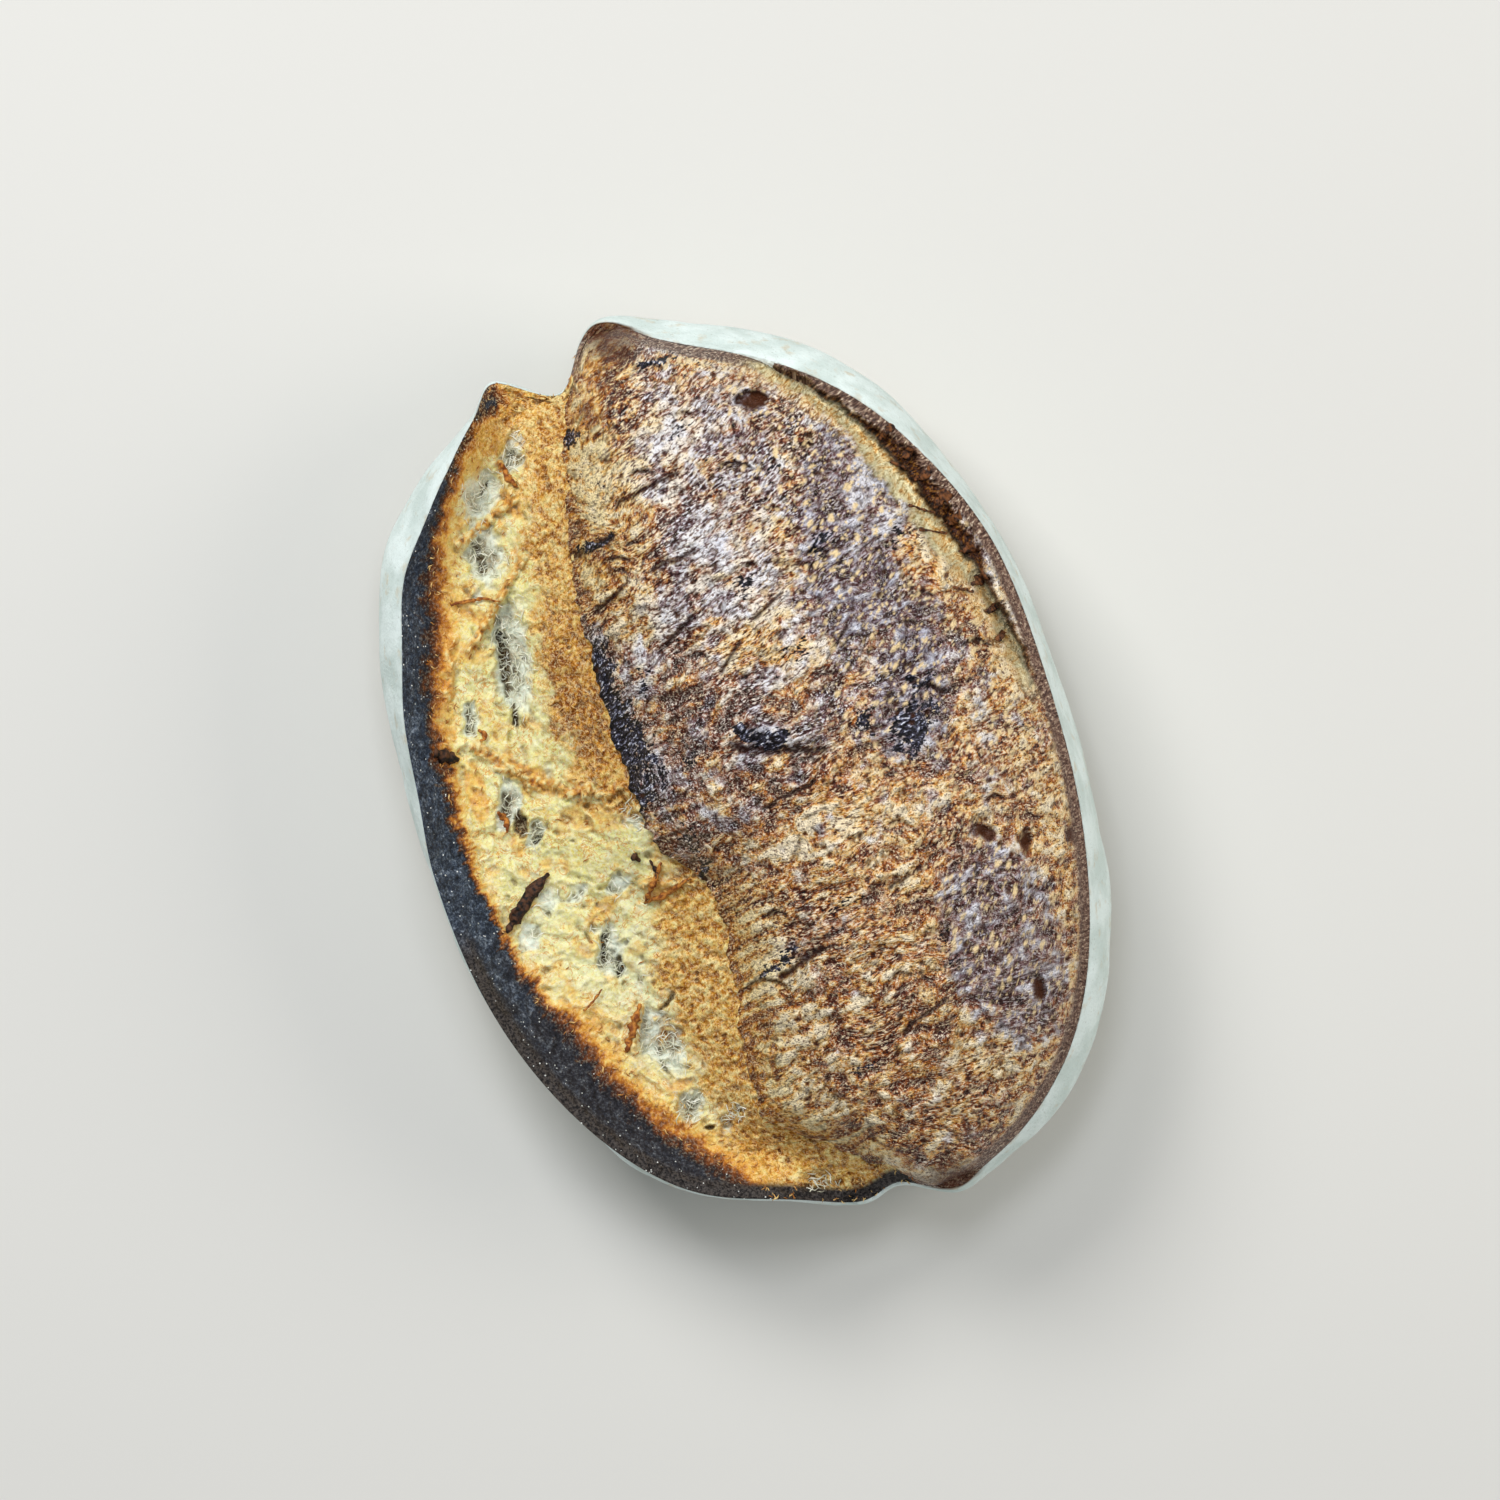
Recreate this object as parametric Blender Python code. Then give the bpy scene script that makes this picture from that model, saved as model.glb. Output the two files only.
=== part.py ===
"""A hearth-baked oval sourdough loaf, one solid.

The floured skin was slashed from end to end. In the oven the dough pushed the slash open: the brown dome
rose out of it, the left flap of skin became a raised ear with a charred edge, and a valley of torn crumb
lies between the ear and the dome. On the right a narrow crack parts the dome from the other flap.

X runs across the loaf, Y along it, Z up from the flat base, which lies at Z 0.
"""

import math

import bmesh
import bpy
import numpy as np
from mathutils import Vector, noise

MM = 0.001

# Driving dimensions of the whole loaf, seen from above as a rounded oval with small lobes
HALF_WIDTH = 93.5 * MM
HALF_LENGTH = 127.5 * MM
OVAL_POWER = 2.3
REACH = 131 * MM
WIDEST_HEIGHT = 35 * MM
FOOT_INSET = 18 * MM

# Each lobe of the outline: direction in degrees from +X, height, spread in degrees
OUTLINE_LOBES = (
    (46, 4.4 * MM, 38),
    (127, 2.8 * MM, 7),
    (160, -1.7 * MM, 16),
    (204, 1.9 * MM, 27),
    (254, -5.8 * MM, 11),
    (284, 7.2 * MM, 34),
)
# The horns of skin and the notches between them where the slash ends; they fade towards the base
END_LOBES = (
    (86.5, 7.8 * MM, 8.2),
    (92, -12.5 * MM, 4.5),
    (100, 4.8 * MM, 2.6),
    (268, -5.3 * MM, 3.7),
    (275, 1.6 * MM, 3.0),
)

# How far the torn edge of the skin stands in from the widest outline, by direction in degrees
BAND_WIDTHS = (
    (-90, 1.0 * MM),
    (-83, 2.0 * MM),
    (-66, 5.5 * MM),
    (-48, 7.0 * MM),
    (-20, 4.5 * MM),
    (15, 2.4 * MM),
    (42, 6.5 * MM),
    (64, 8.5 * MM),
    (78, 6.0 * MM),
    (86, 1.0 * MM),
    (102, 1.0 * MM),
    (112, 5.5 * MM),
    (126, 7.5 * MM),
    (138, 5.5 * MM),
    (150, 3.0 * MM),
    (174, 1.0 * MM),
    (245, 0.8 * MM),
    (270, 1.0 * MM),
)

# Lines along the loaf, each a list of (Y, X)
VALLEY_LINE = (
    (-130 * MM, -14 * MM),
    (-106 * MM, -39 * MM),
    (-58 * MM, -54 * MM),
    (0, -63 * MM),
    (37, -57 * MM),
    (62 * MM, -49 * MM),
    (100 * MM, -35 * MM),
    (130 * MM, -11 * MM),
)
CRUST_LINE = (
    (-130 * MM, 3 * MM),
    (-112 * MM, -14 * MM),
    (-90 * MM, -35 * MM),
    (-62 * MM, -26 * MM),
    (-30 * MM, -18 * MM),
    (-4 * MM, -32 * MM),
    (45 * MM, -27 * MM),
    (78 * MM, -20 * MM),
    (107 * MM, -9 * MM),
    (130 * MM, 2 * MM),
)
PEAK_LINE = (
    (-130 * MM, 8 * MM),
    (-60 * MM, 20 * MM),
    (20 * MM, 22 * MM),
    (90 * MM, 20 * MM),
    (130 * MM, 8 * MM),
)
CRACK_LINE = (
    (-20 * MM, 86 * MM),
    (13 * MM, 85 * MM),
    (49 * MM, 78.5 * MM),
    (71 * MM, 72 * MM),
    (93 * MM, 60 * MM),
    (112 * MM, 43 * MM),
)

# Heights at mid-length and at the ends
PEAK_HEIGHTS = (100 * MM, 46 * MM)
CRUST_HEIGHTS = (62 * MM, 43 * MM)
LEFT_HEIGHTS = ((46 * MM, 38 * MM), (44 * MM, 37 * MM))
RIGHT_RIM_HEIGHTS = (61 * MM, 45 * MM)
END_ROUNDING = (2.5, 0.6)

# Cross-section of the dome: share of the way across, share of the way up
DOME_LEFT = ((0, 0), (0.22, 0.45), (0.55, 0.84))
DOME_RIGHT = ((0, 1), (0.38, 0.9), (0.68, 0.64), (0.9, 0.22), (1, 0))

# The ear: it starts, is full, starts to end and ends at these directions, and so does its undercut
EAR_RISE = 15 * MM
EAR_SPREAD = 15 * MM
EAR_CURVE = 1.5
EAR_ENDS = (99, 104, 250, 264)
EAR_UNDERCUT = 3.0 * MM
UNDERCUT_ENDS = (140, 190, 235, 262)

# The dome's left edge stands up, from the first distance to the second, then sinks back
CRUST_STEP = 2.8 * MM
CRUST_STEP_UP = (-1 * MM, 1 * MM)
CRUST_STEP_DOWN = (2 * MM, 14 * MM)

# The crack: it ends, is full, starts to end and ends at these distances along the loaf
CRACK_DEPTH = 10 * MM
CRACK_HALF_WIDTH = 2.6 * MM
CRACK_ENDS = (-18 * MM, 30 * MM, 84 * MM, 110 * MM)

# The groove just inside the right flap's edge
GROOVE_DEPTH = 1.6 * MM
GROOVE_INSET = 2.0 * MM
GROOVE_HALF_WIDTH = 1.5 * MM
GROOVE_START = (0, 20 * MM)

# How squarely the side turns in to the torn edge, and where the undercut is deepest
SHOULDER_CURVE = 1.6
UNDERCUT_CURVE = 0.6

# Burst bubbles in the torn crumb: X, Y, half length, half width, turn in degrees, depth
CRUMB_HOLES = (
    (-25 * MM, 109 * MM, 6.5 * MM, 3.0 * MM, 52, 3.0 * MM),
    (-40 * MM, 101 * MM, 6.5 * MM, 3.4 * MM, 27, 2.5 * MM),
    (-44 * MM, 86 * MM, 9.0 * MM, 4.6 * MM, 72, 5.0 * MM),
    (-48 * MM, 58 * MM, 15.0 * MM, 4.2 * MM, 76, 6.0 * MM),
    (-65 * MM, 44 * MM, 6.0 * MM, 2.6 * MM, 62, 3.0 * MM),
    (-65 * MM, 17 * MM, 6.0 * MM, 4.4 * MM, 50, 5.5 * MM),
    (-62 * MM, 5 * MM, 4.6 * MM, 2.8 * MM, -10, 4.5 * MM),
    (-55 * MM, -32 * MM, 8.0 * MM, 3.6 * MM, 82, 6.0 * MM),
    (-51 * MM, -62 * MM, 11.0 * MM, 6.0 * MM, 97, 4.0 * MM),
    (-51 * MM, -82 * MM, 4.6 * MM, 4.0 * MM, 80, 3.5 * MM),
    (-74 * MM, -19 * MM, 4.0 * MM, 3.4 * MM, 60, 2.2 * MM),
    (-31 * MM, 1 * MM, 5.4 * MM, 3.6 * MM, 97, 2.6 * MM),
    (-24 * MM, -117 * MM, 6.0 * MM, 2.6 * MM, -20, 2.4 * MM),
)

# Strands of torn crumb: start X, start Y, end X, end Y, half width, height
CRUMB_STRANDS = (
    (-33 * MM, 81 * MM, -58 * MM, 63 * MM, 2.2 * MM, 3.4 * MM),
    (-66 * MM, 38 * MM, -54 * MM, 20 * MM, 3.2 * MM, 3.2 * MM),
    (-54 * MM, 20 * MM, -40 * MM, 8 * MM, 3.2 * MM, 3.0 * MM),
    (-31 * MM, 97 * MM, -49 * MM, 92 * MM, 2.6 * MM, 3.0 * MM),
    (-69 * MM, -2 * MM, -78 * MM, -13 * MM, 2.2 * MM, 3.0 * MM),
    (-53 * MM, -50 * MM, -63 * MM, -62 * MM, 2.2 * MM, 2.4 * MM),
)

# Bubbles and pits in the crust: X, Y, half length, half width, turn in degrees, height
CRUST_BLISTERS = (
    (9 * MM, 7 * MM, 11.0 * MM, 7.0 * MM, 10, 2.6 * MM),
    (45 * MM, 96 * MM, 5.5 * MM, 4.0 * MM, -10, -2.6 * MM),
    (32 * MM, 78 * MM, 7.0 * MM, 5.0 * MM, 10, 1.6 * MM),
    (50 * MM, -7 * MM, 11.0 * MM, 9.0 * MM, 40, 2.0 * MM),
    (-18 * MM, -66 * MM, 9.0 * MM, 7.0 * MM, 20, 1.8 * MM),
    (57 * MM, -43 * MM, 4.0 * MM, 2.6 * MM, -50, -2.8 * MM),
    (67 * MM, -50 * MM, 4.4 * MM, 2.2 * MM, 70, -2.6 * MM),
    (80 * MM, -53 * MM, 4.4 * MM, 2.4 * MM, 75, -3.2 * MM),
    (54 * MM, -90 * MM, 4.4 * MM, 2.2 * MM, 70, -2.6 * MM),
    (43 * MM, -118 * MM, 3.4 * MM, 2.4 * MM, 60, -2.2 * MM),
)

# How steep the walls of holes and blisters are: less is steeper
HOLE_CURVE = 0.7
BLISTER_CURVE = 0.6

# Unevenness, which fades out above the base, turns from upwards to outwards, and is cragged in the crumb
LUMP_SIZE = 26 * MM
LUMP_HEIGHT = 1.3 * MM
LUMP_SEED = 3.0
CRAG_SIZE = 6.5 * MM
CRAG_HEIGHT = 0.9 * MM
CRAG_SEED = 7.0
CLEAR_OF_BASE = (2 * MM, 14 * MM)
TURN_OUTWARDS = (60 * MM, 90 * MM)
CRUMB_ABOVE = (30 * MM, 42 * MM)
CRUMB_INSIDE = (0, 8 * MM)

LEAST_GAP = 1.5 * MM
NEAR_MIDLINE = 6 * MM
EDGE_STEPS = 2881
CUTS = 94
TRIANGLES = 11600

CRUST_COLOUR = (0.29, 0.13, 0.045, 1.0)


def clear_scene():
    for thing in list(bpy.data.objects):
        bpy.data.objects.remove(thing, do_unlink=True)


def smooth_curve(at, places, values):
    """Value at each point of the smooth curve that never overshoots its knots.

    places and values hold one row for each knot, a number or an array as long as at.
    """
    places = np.stack([np.broadcast_to(p, at.shape) for p in places])
    values = np.stack([np.broadcast_to(v, at.shape) for v in values])
    steps = np.diff(places, axis=0)
    slopes = np.diff(values, axis=0) / steps
    before, after = slopes[:-1], slopes[1:]
    same_way = before * after > 0
    inner = np.where(same_way, 2 * before * after / np.where(same_way, before + after, 1), 0)
    tangents = np.concatenate([slopes[:1], inner, slopes[-1:]])
    knot = np.clip((at >= places).sum(axis=0) - 1, 0, len(steps) - 1)[None]
    start, width = (np.take_along_axis(rows, knot, 0)[0] for rows in (places, steps))
    low, high = (np.take_along_axis(values, knot + k, 0)[0] for k in (0, 1))
    leave, arrive = (np.take_along_axis(tangents, knot + k, 0)[0] * width for k in (0, 1))
    t = np.clip((at - start) / width, 0, 1)
    turn = t * t * (3 - 2 * t)
    return low + (high - low) * turn + (t**3 - 2 * t**2 + t) * leave + (t**3 - t**2) * arrive


def along(points, at):
    """Value at each Y, or each direction, of a curve given as (place, value) pairs."""
    return smooth_curve(at, [p for p, _ in points], [v for _, v in points])


def fade(at, start, full):
    """0 before start, 1 after full, with a smooth turn between them."""
    t = np.clip((at - start) / (full - start), 0, 1)
    return t * t * (3 - 2 * t)


def between(at, ends):
    """1 between the second and third of four ends, 0 beyond the outer two."""
    begin, full, last, end = ends
    return fade(at, begin, full) * (1 - fade(at, last, end))


def outline_radius(angle, ends=1.0):
    """Reach of the loaf in each direction, in radians from +X, with its end lobes at this share."""
    across = np.abs(np.cos(angle) / HALF_WIDTH) ** OVAL_POWER
    lengthwise = np.abs(np.sin(angle) / HALF_LENGTH) ** OVAL_POWER
    radius = (across + lengthwise) ** (-1 / OVAL_POWER)
    for lobes, kept in ((OUTLINE_LOBES, 1.0), (END_LOBES, ends)):
        for direction, height, spread in lobes:
            away = (np.degrees(angle) - direction + 180) % 360 - 180
            radius = radius + kept * height * np.exp(-((away / spread) ** 2))
    return radius


def crest_radius(angle):
    """Reach of the torn edge of the skin, where the top meets the side."""
    degrees = (np.degrees(angle) + 90) % 360 - 90
    return outline_radius(angle) - along(BAND_WIDTHS, degrees)


def crest_span(y):
    """Left and right X of the torn edge at each Y, by walking round the edge."""
    angle = np.linspace(-math.pi, math.pi, EDGE_STEPS)
    edge_x, edge_y = crest_radius(angle) * np.cos(angle), crest_radius(angle) * np.sin(angle)
    right = edge_x > NEAR_MIDLINE
    left = edge_x < -NEAR_MIDLINE
    order = np.argsort(edge_y[left])
    xl = np.interp(y, edge_y[left][order], edge_x[left][order])
    order = np.argsort(edge_y[right])
    xr = np.interp(y, edge_y[right][order], edge_x[right][order])
    return xl, xr


def fall_to_ends(y, heights):
    """Height that goes from its mid-length value to its value at the ends."""
    power, root = END_ROUNDING
    share = np.clip(1 - np.abs(y / REACH) ** power, 0, 1) ** root
    return heights[1] + (heights[0] - heights[1]) * share


def body_height(x, y):
    """Height of the top without its ear, crack or relief, from rails that run along the loaf."""
    left, right = crest_span(y)
    valley, crust = along(VALLEY_LINE, y), along(CRUST_LINE, y)
    peak = along(PEAK_LINE, y)
    top, foot = fall_to_ends(y, PEAK_HEIGHTS), fall_to_ends(y, CRUST_HEIGHTS)
    rim = fall_to_ends(y, RIGHT_RIM_HEIGHTS)
    valley = np.maximum(valley, left + LEAST_GAP)
    crust = np.maximum(crust, valley + LEAST_GAP)
    peak = np.maximum(peak, crust + 2 * LEAST_GAP)
    right = np.maximum(right, peak + 3 * LEAST_GAP)
    places, heights = [left, valley], [fall_to_ends(y, heights) for heights in LEFT_HEIGHTS]
    for across, up in DOME_LEFT:
        places.append(crust + across * (peak - crust))
        heights.append(foot + up * (top - foot))
    for across, up in DOME_RIGHT:
        places.append(peak + across * (right - peak))
        heights.append(rim + up * (top - rim))
    return smooth_curve(x, places, heights)


def ear_rise(x, y):
    """The left flap of skin, raised along the torn edge between its two horns."""
    angle = np.arctan2(y, x)
    window = between(np.degrees(angle) % 360, EAR_ENDS)
    inside = np.clip(crest_radius(angle) - np.hypot(x, y), 0, None)
    return window * EAR_RISE * np.clip(1 - inside / EAR_SPREAD, 0, 1) ** EAR_CURVE


def crack_cut(x, y):
    """Depth of the crack between the dome and the right flap, and of the groove that runs on."""
    step = 0.5 * MM
    line = along(CRACK_LINE, y)
    lean = (along(CRACK_LINE, y + step) - line) / step
    away = (x - line) / np.hypot(1, lean)
    inside = crest_radius(np.arctan2(y, x)) - np.hypot(x, y)
    groove = np.exp(-(((inside - GROOVE_INSET) / GROOVE_HALF_WIDTH) ** 2)) * fade(x, *GROOVE_START)
    crack = np.exp(-np.abs(away / CRACK_HALF_WIDTH) ** 3) * between(y, CRACK_ENDS)
    return CRACK_DEPTH * crack + GROOVE_DEPTH * groove


def oval_share(x, y, oval):
    """1 at the middle of an oval feature, 0 at its edge and beyond."""
    middle_x, middle_y, half_long, half_wide, turn, _ = oval
    cos, sin = math.cos(math.radians(turn)), math.sin(math.radians(turn))
    dx, dy = x - middle_x, y - middle_y
    reach = ((dx * cos + dy * sin) / half_long) ** 2 + ((dy * cos - dx * sin) / half_wide) ** 2
    return np.clip(1 - reach, 0, 1)


def strand_share(x, y, strand):
    """1 on the middle line of a strand, 0 beyond its half width."""
    x0, y0, x1, y1, half_width, _ = strand
    run_x, run_y = x1 - x0, y1 - y0
    t = np.clip(((x - x0) * run_x + (y - y0) * run_y) / (run_x**2 + run_y**2), 0, 1)
    away = np.hypot(x - x0 - t * run_x, y - y0 - t * run_y)
    return np.clip(1 - (away / half_width) ** 2, 0, 1)


def noise_at(points, size, seed):
    """Smooth noise from -1 to 1 at each point, with lumps about size across."""
    shift = Vector((seed, 2 * seed, -seed))
    return np.array([noise.noise(Vector(p) / size + shift) for p in points])


def top_height(x, y):
    """Height of the loaf's top at each point of its plan."""
    height = body_height(x, y) + ear_rise(x, y) - crack_cut(x, y)
    past_crust = x - along(CRUST_LINE, y)
    height += CRUST_STEP * (fade(past_crust, *CRUST_STEP_UP) - fade(past_crust, *CRUST_STEP_DOWN))
    for hole in CRUMB_HOLES:
        height -= hole[-1] * oval_share(x, y, hole) ** HOLE_CURVE
    for strand in CRUMB_STRANDS:
        height += strand[-1] * strand_share(x, y, strand)
    for blister in CRUST_BLISTERS:
        height += blister[-1] * oval_share(x, y, blister) ** BLISTER_CURVE
    return height


def side_point(angle, share):
    """Reach and height on the side: share 0 is the torn edge of the skin, 1 the edge of the base."""
    lower = np.clip(2 * share - 1, 0, 1)
    wide, crest = outline_radius(angle, 1 - lower**2), crest_radius(angle)
    crest_height = top_height(crest * np.cos(angle), crest * np.sin(angle))
    upper = np.clip(2 * share, 0, 1)
    under_ear = EAR_UNDERCUT * between(np.degrees(angle) % 360, UNDERCUT_ENDS)
    reach = wide - (wide - crest) * (1 - upper) ** SHOULDER_CURVE
    reach = reach - under_ear * np.sin(math.pi * upper**UNDERCUT_CURVE) ** 2
    height = crest_height + (WIDEST_HEIGHT - crest_height) * upper
    turn = lower * math.pi / 2
    reach = reach - FOOT_INSET * (1 - np.cos(turn))
    height = np.where(share > 0.5, WIDEST_HEIGHT * (1 - np.sin(turn)), height)
    return reach, height


def loaf_point(cage):
    """Carries the surface of a cube, corners at 1 and -1, onto the loaf."""
    a, b, c = cage.T
    u, v = a * np.sqrt(1 - b * b / 2), b * np.sqrt(1 - a * a / 2)
    share_out = np.hypot(u, v)
    angle = np.arctan2(v * HALF_LENGTH, u * HALF_WIDTH)
    is_top, is_base = c > 1 - 1e-6, c < -1 + 1e-6
    reach, height = side_point(angle, (1 - c) / 2)
    reach = np.where(is_top | is_base, reach * share_out, reach)
    x, y = reach * np.cos(angle), reach * np.sin(angle)
    height = np.where(is_top, top_height(x, y), np.where(is_base, 0, height))
    return np.stack([x, y, height], axis=1)


def add_relief(points):
    """Uneven lumps everywhere but the base, and crags in the torn crumb."""
    x, y, z = points.T
    radius = np.hypot(x, y)
    lifted = fade(z, *CLEAR_OF_BASE)
    lumps = LUMP_HEIGHT * noise_at(points, LUMP_SIZE, LUMP_SEED)
    crumb = fade(along(CRUST_LINE, y) - x, *CRUMB_INSIDE) * fade(z, *CRUMB_ABOVE)
    crags = CRAG_HEIGHT * crumb * noise_at(points, CRAG_SIZE, CRAG_SEED)
    outward = fade(radius, *TURN_OUTWARDS)
    grow = 1 + lifted * outward * lumps / np.maximum(radius, LEAST_GAP)
    rise = lifted * ((1 - outward) * lumps + crags)
    return np.stack([x * grow, y * grow, z + rise], axis=1)


def loaf_mesh():
    """A finely divided cube whose points are carried onto the loaf."""
    cube = bmesh.new()
    bmesh.ops.create_cube(cube, size=2)
    bmesh.ops.subdivide_edges(cube, edges=cube.edges[:], cuts=CUTS, use_grid_fill=True)
    cage = np.array([v.co for v in cube.verts])
    for vert, place in zip(cube.verts, add_relief(loaf_point(cage))):
        vert.co = place
    bmesh.ops.recalc_face_normals(cube, faces=cube.faces)
    mesh = bpy.data.meshes.new("loaf")
    cube.to_mesh(mesh)
    cube.free()
    return mesh


def crust_material():
    material = bpy.data.materials.new("baked_crust")
    material.use_nodes = True
    shader = material.node_tree.nodes["Principled BSDF"]
    shader.inputs["Base Color"].default_value = CRUST_COLOUR
    shader.inputs["Roughness"].default_value = 0.55
    shader.inputs["Metallic"].default_value = 0.0
    return material


def build_loaf():
    """The loaf, with its faces thinned out where the surface is plain."""
    loaf = bpy.data.objects.new("loaf", loaf_mesh())
    loaf.data.materials.append(crust_material())
    loaf.data.shade_smooth()
    loaf.data.calc_loop_triangles()
    thin = loaf.modifiers.new("thin_out", "DECIMATE")
    thin.ratio = TRIANGLES / len(loaf.data.loop_triangles)
    return loaf


def main():
    clear_scene()
    bread = bpy.data.collections.new("sourdough_loaf")
    bpy.context.scene.collection.children.link(bread)
    bread.objects.link(build_loaf())


main()
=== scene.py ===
"""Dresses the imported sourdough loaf: floured skin, torn crumb, baked crust, flour, fibres and charred shreds.

Shapes are worked out in millimetres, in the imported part's own frame: X across the loaf, Y along it, Z up.
"""

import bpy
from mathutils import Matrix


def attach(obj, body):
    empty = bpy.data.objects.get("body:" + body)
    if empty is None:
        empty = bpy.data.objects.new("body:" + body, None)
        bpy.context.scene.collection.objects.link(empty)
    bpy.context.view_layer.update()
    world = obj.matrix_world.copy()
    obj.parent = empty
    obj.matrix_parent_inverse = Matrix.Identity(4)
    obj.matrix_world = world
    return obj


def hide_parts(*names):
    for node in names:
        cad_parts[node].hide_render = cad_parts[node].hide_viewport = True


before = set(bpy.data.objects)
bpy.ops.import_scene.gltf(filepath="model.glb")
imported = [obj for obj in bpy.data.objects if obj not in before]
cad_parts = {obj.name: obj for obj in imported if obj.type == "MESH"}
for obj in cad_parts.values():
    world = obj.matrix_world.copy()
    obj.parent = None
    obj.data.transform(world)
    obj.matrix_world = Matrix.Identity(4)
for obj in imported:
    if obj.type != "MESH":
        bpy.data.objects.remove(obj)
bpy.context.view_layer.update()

import itertools
import math

import bmesh
import bpy
import numpy as np
from bpy.props import FloatProperty, FloatVectorProperty, IntProperty, PointerProperty
from mathutils import Vector

bl_info = {
    "name": "Sourdough Loaf",
    "version": (1, 0, 0),
    "blender": (4, 5, 0),
    "location": "3D View > Sidebar > Loaf",
    "description": "Builds a hearth-baked oval sourdough loaf with an ear, torn crumb and a domed crust",
    "category": "Add Mesh",
}

MM = 0.001

# The form of the solid loaf, repeated from the part's source, in mm and degrees
HALF_WIDTH = 93.5
HALF_LENGTH = 127.5
OVAL_POWER = 2.3
REACH = 131
WIDEST_HEIGHT = 35
FOOT_INSET = 18
OUTLINE_LOBES = (
    (46, 4.4, 38), (127, 2.8, 7), (160, -1.7, 16), (204, 1.9, 27), (254, -5.8, 11), (284, 7.2, 34),
)
END_LOBES = ((86.5, 7.8, 8.2), (92, -12.5, 4.5), (100, 4.8, 2.6), (268, -5.3, 3.7), (275, 1.6, 3.0))
BAND_WIDTHS = (
    (-90, 1.0), (-83, 2.0), (-66, 5.5), (-48, 7.0), (-20, 4.5), (15, 2.4), (42, 6.5), (64, 8.5),
    (78, 6.0), (86, 1.0), (102, 1.0), (112, 5.5), (126, 8.5), (138, 7.0), (150, 4.5), (162, 3.0),
    (176, 1.2), (245, 0.8), (270, 1.0),
)
VALLEY_LINE = ((-130, -14), (-106, -39), (-58, -54), (0, -63), (37, -57), (62, -49), (100, -35), (130, -11))
CRUST_LINE = (
    (-130, 3), (-112, -14), (-90, -33), (-62, -27), (-30, -21), (-4, -31), (45, -27), (78, -20),
    (107, -9), (130, 2),
)
PEAK_LINE = ((-130, 8), (-60, 20), (20, 22), (90, 20), (130, 8))
CRACK_LINE = ((-20, 86), (13, 85), (49, 78.5), (71, 72), (93, 60), (112, 43))
PEAK_HEIGHTS = (100, 46)
CRUST_HEIGHTS = (62, 43)
LEFT_HEIGHTS = ((46, 38), (44, 37))
RIGHT_RIM_HEIGHTS = (61, 45)
END_ROUNDING = (2.5, 0.6)
DOME_LEFT = ((0, 0), (0.22, 0.45), (0.55, 0.84))
DOME_RIGHT = ((0, 1), (0.38, 0.9), (0.68, 0.64), (0.9, 0.22), (1, 0))
EAR_SPREAD = 15
EAR_CURVE = 1.5
EAR_ENDS = (99, 104, 250, 264)
HORN_TIPS = ((14.8, 129.2), (-21, 129.5), (10.4, -134))
HORN_BROWN = (4, 13)
EAR_UNDERCUT = 3.0
UNDERCUT_ENDS = (140, 190, 235, 262)
CRUST_STEP_DOWN = (2, 14)
CRACK_HALF_WIDTH = 4.2
CRACK_ENDS = (-20, 6, 96, 112)
CRACK_WIDEST = (18, 36, 62, 84)
GROOVE_DEPTH = 1.6
GROOVE_INSET = 2.0
GROOVE_HALF_WIDTH = 1.5
GROOVE_START = (0, 20)
SHOULDER_CURVE = 1.6
UNDERCUT_CURVE = 0.6
CRUMB_HOLES = (
    (-25, 109, 8.0, 3.6, 52, 3.0), (-38, 102, 8.5, 5.4, 40, 2.6), (-43, 86, 11.5, 5.8, 78, 4.0),
    (-50, 76, 3.5, 2.4, 60, 2.0), (-48, 55, 19.0, 6.0, 76, 4.6), (-65, 44, 6.0, 2.8, 62, 3.0),
    (-65, 17, 8.0, 4.4, 60, 3.4), (-61, 7, 5.6, 3.6, 40, 3.4), (-55, -33, 10.0, 4.6, 76, 4.0),
    (-51, -62, 12.0, 6.4, 100, 3.4), (-51, -83, 5.5, 4.0, 70, 3.0), (-40, -90, 5.0, 3.2, 20, 2.4),
    (-74, -19, 4.6, 3.6, 60, 2.2), (-33, 1, 5.8, 3.6, 97, 2.6), (-45, -16, 6.0, 3.0, 20, 1.8),
    (-24, -117, 6.0, 2.6, -20, 2.4), (-58, -14, 5.0, 2.6, 10, 2.0), (-66, -13, 7.0, 4.6, 60, 1.4),
    (-40, 68, 5.0, 3.0, 90, 0.9), (-52, 20, 4.0, 2.6, 60, 1.0), (-50, -44, 6.0, 3.6, 60, 0.9),
)
FULL_HOLE = 2.8
# Narrow openings far down in the holes, painted with shade
CRUMB_SLOTS = (
    (-45, 84, 4.5, 1.3, 82, 2.0), (-50.1, 55.2, 11.5, 1.8, 74, 3.2), (-53, 40, 4.5, 1.3, 74, 2.6),
    (-66, 18, 3.6, 1.6, 70, 2.0), (-64, 11, 4.2, 1.7, 65, 3.2), (-61, 5, 2.6, 1.1, 15, 2.4),
    (-56, -31, 4.6, 1.2, 78, 3.0), (-54, -38, 4.0, 1.1, 62, 3.0), (-46, -53, 4.0, 1.0, 35, 2.0),
    (-48, -90, 1.6, 1.1, 0, 2.4), (-66, 44, 3.0, 0.9, 62, 1.6), (-36, 103, 3.5, 0.8, 40, 1.6),
    (-53, -70, 4.0, 0.8, 100, 1.4), (-29, -74, 3.0, 0.7, 110, 1.2),
)
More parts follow.
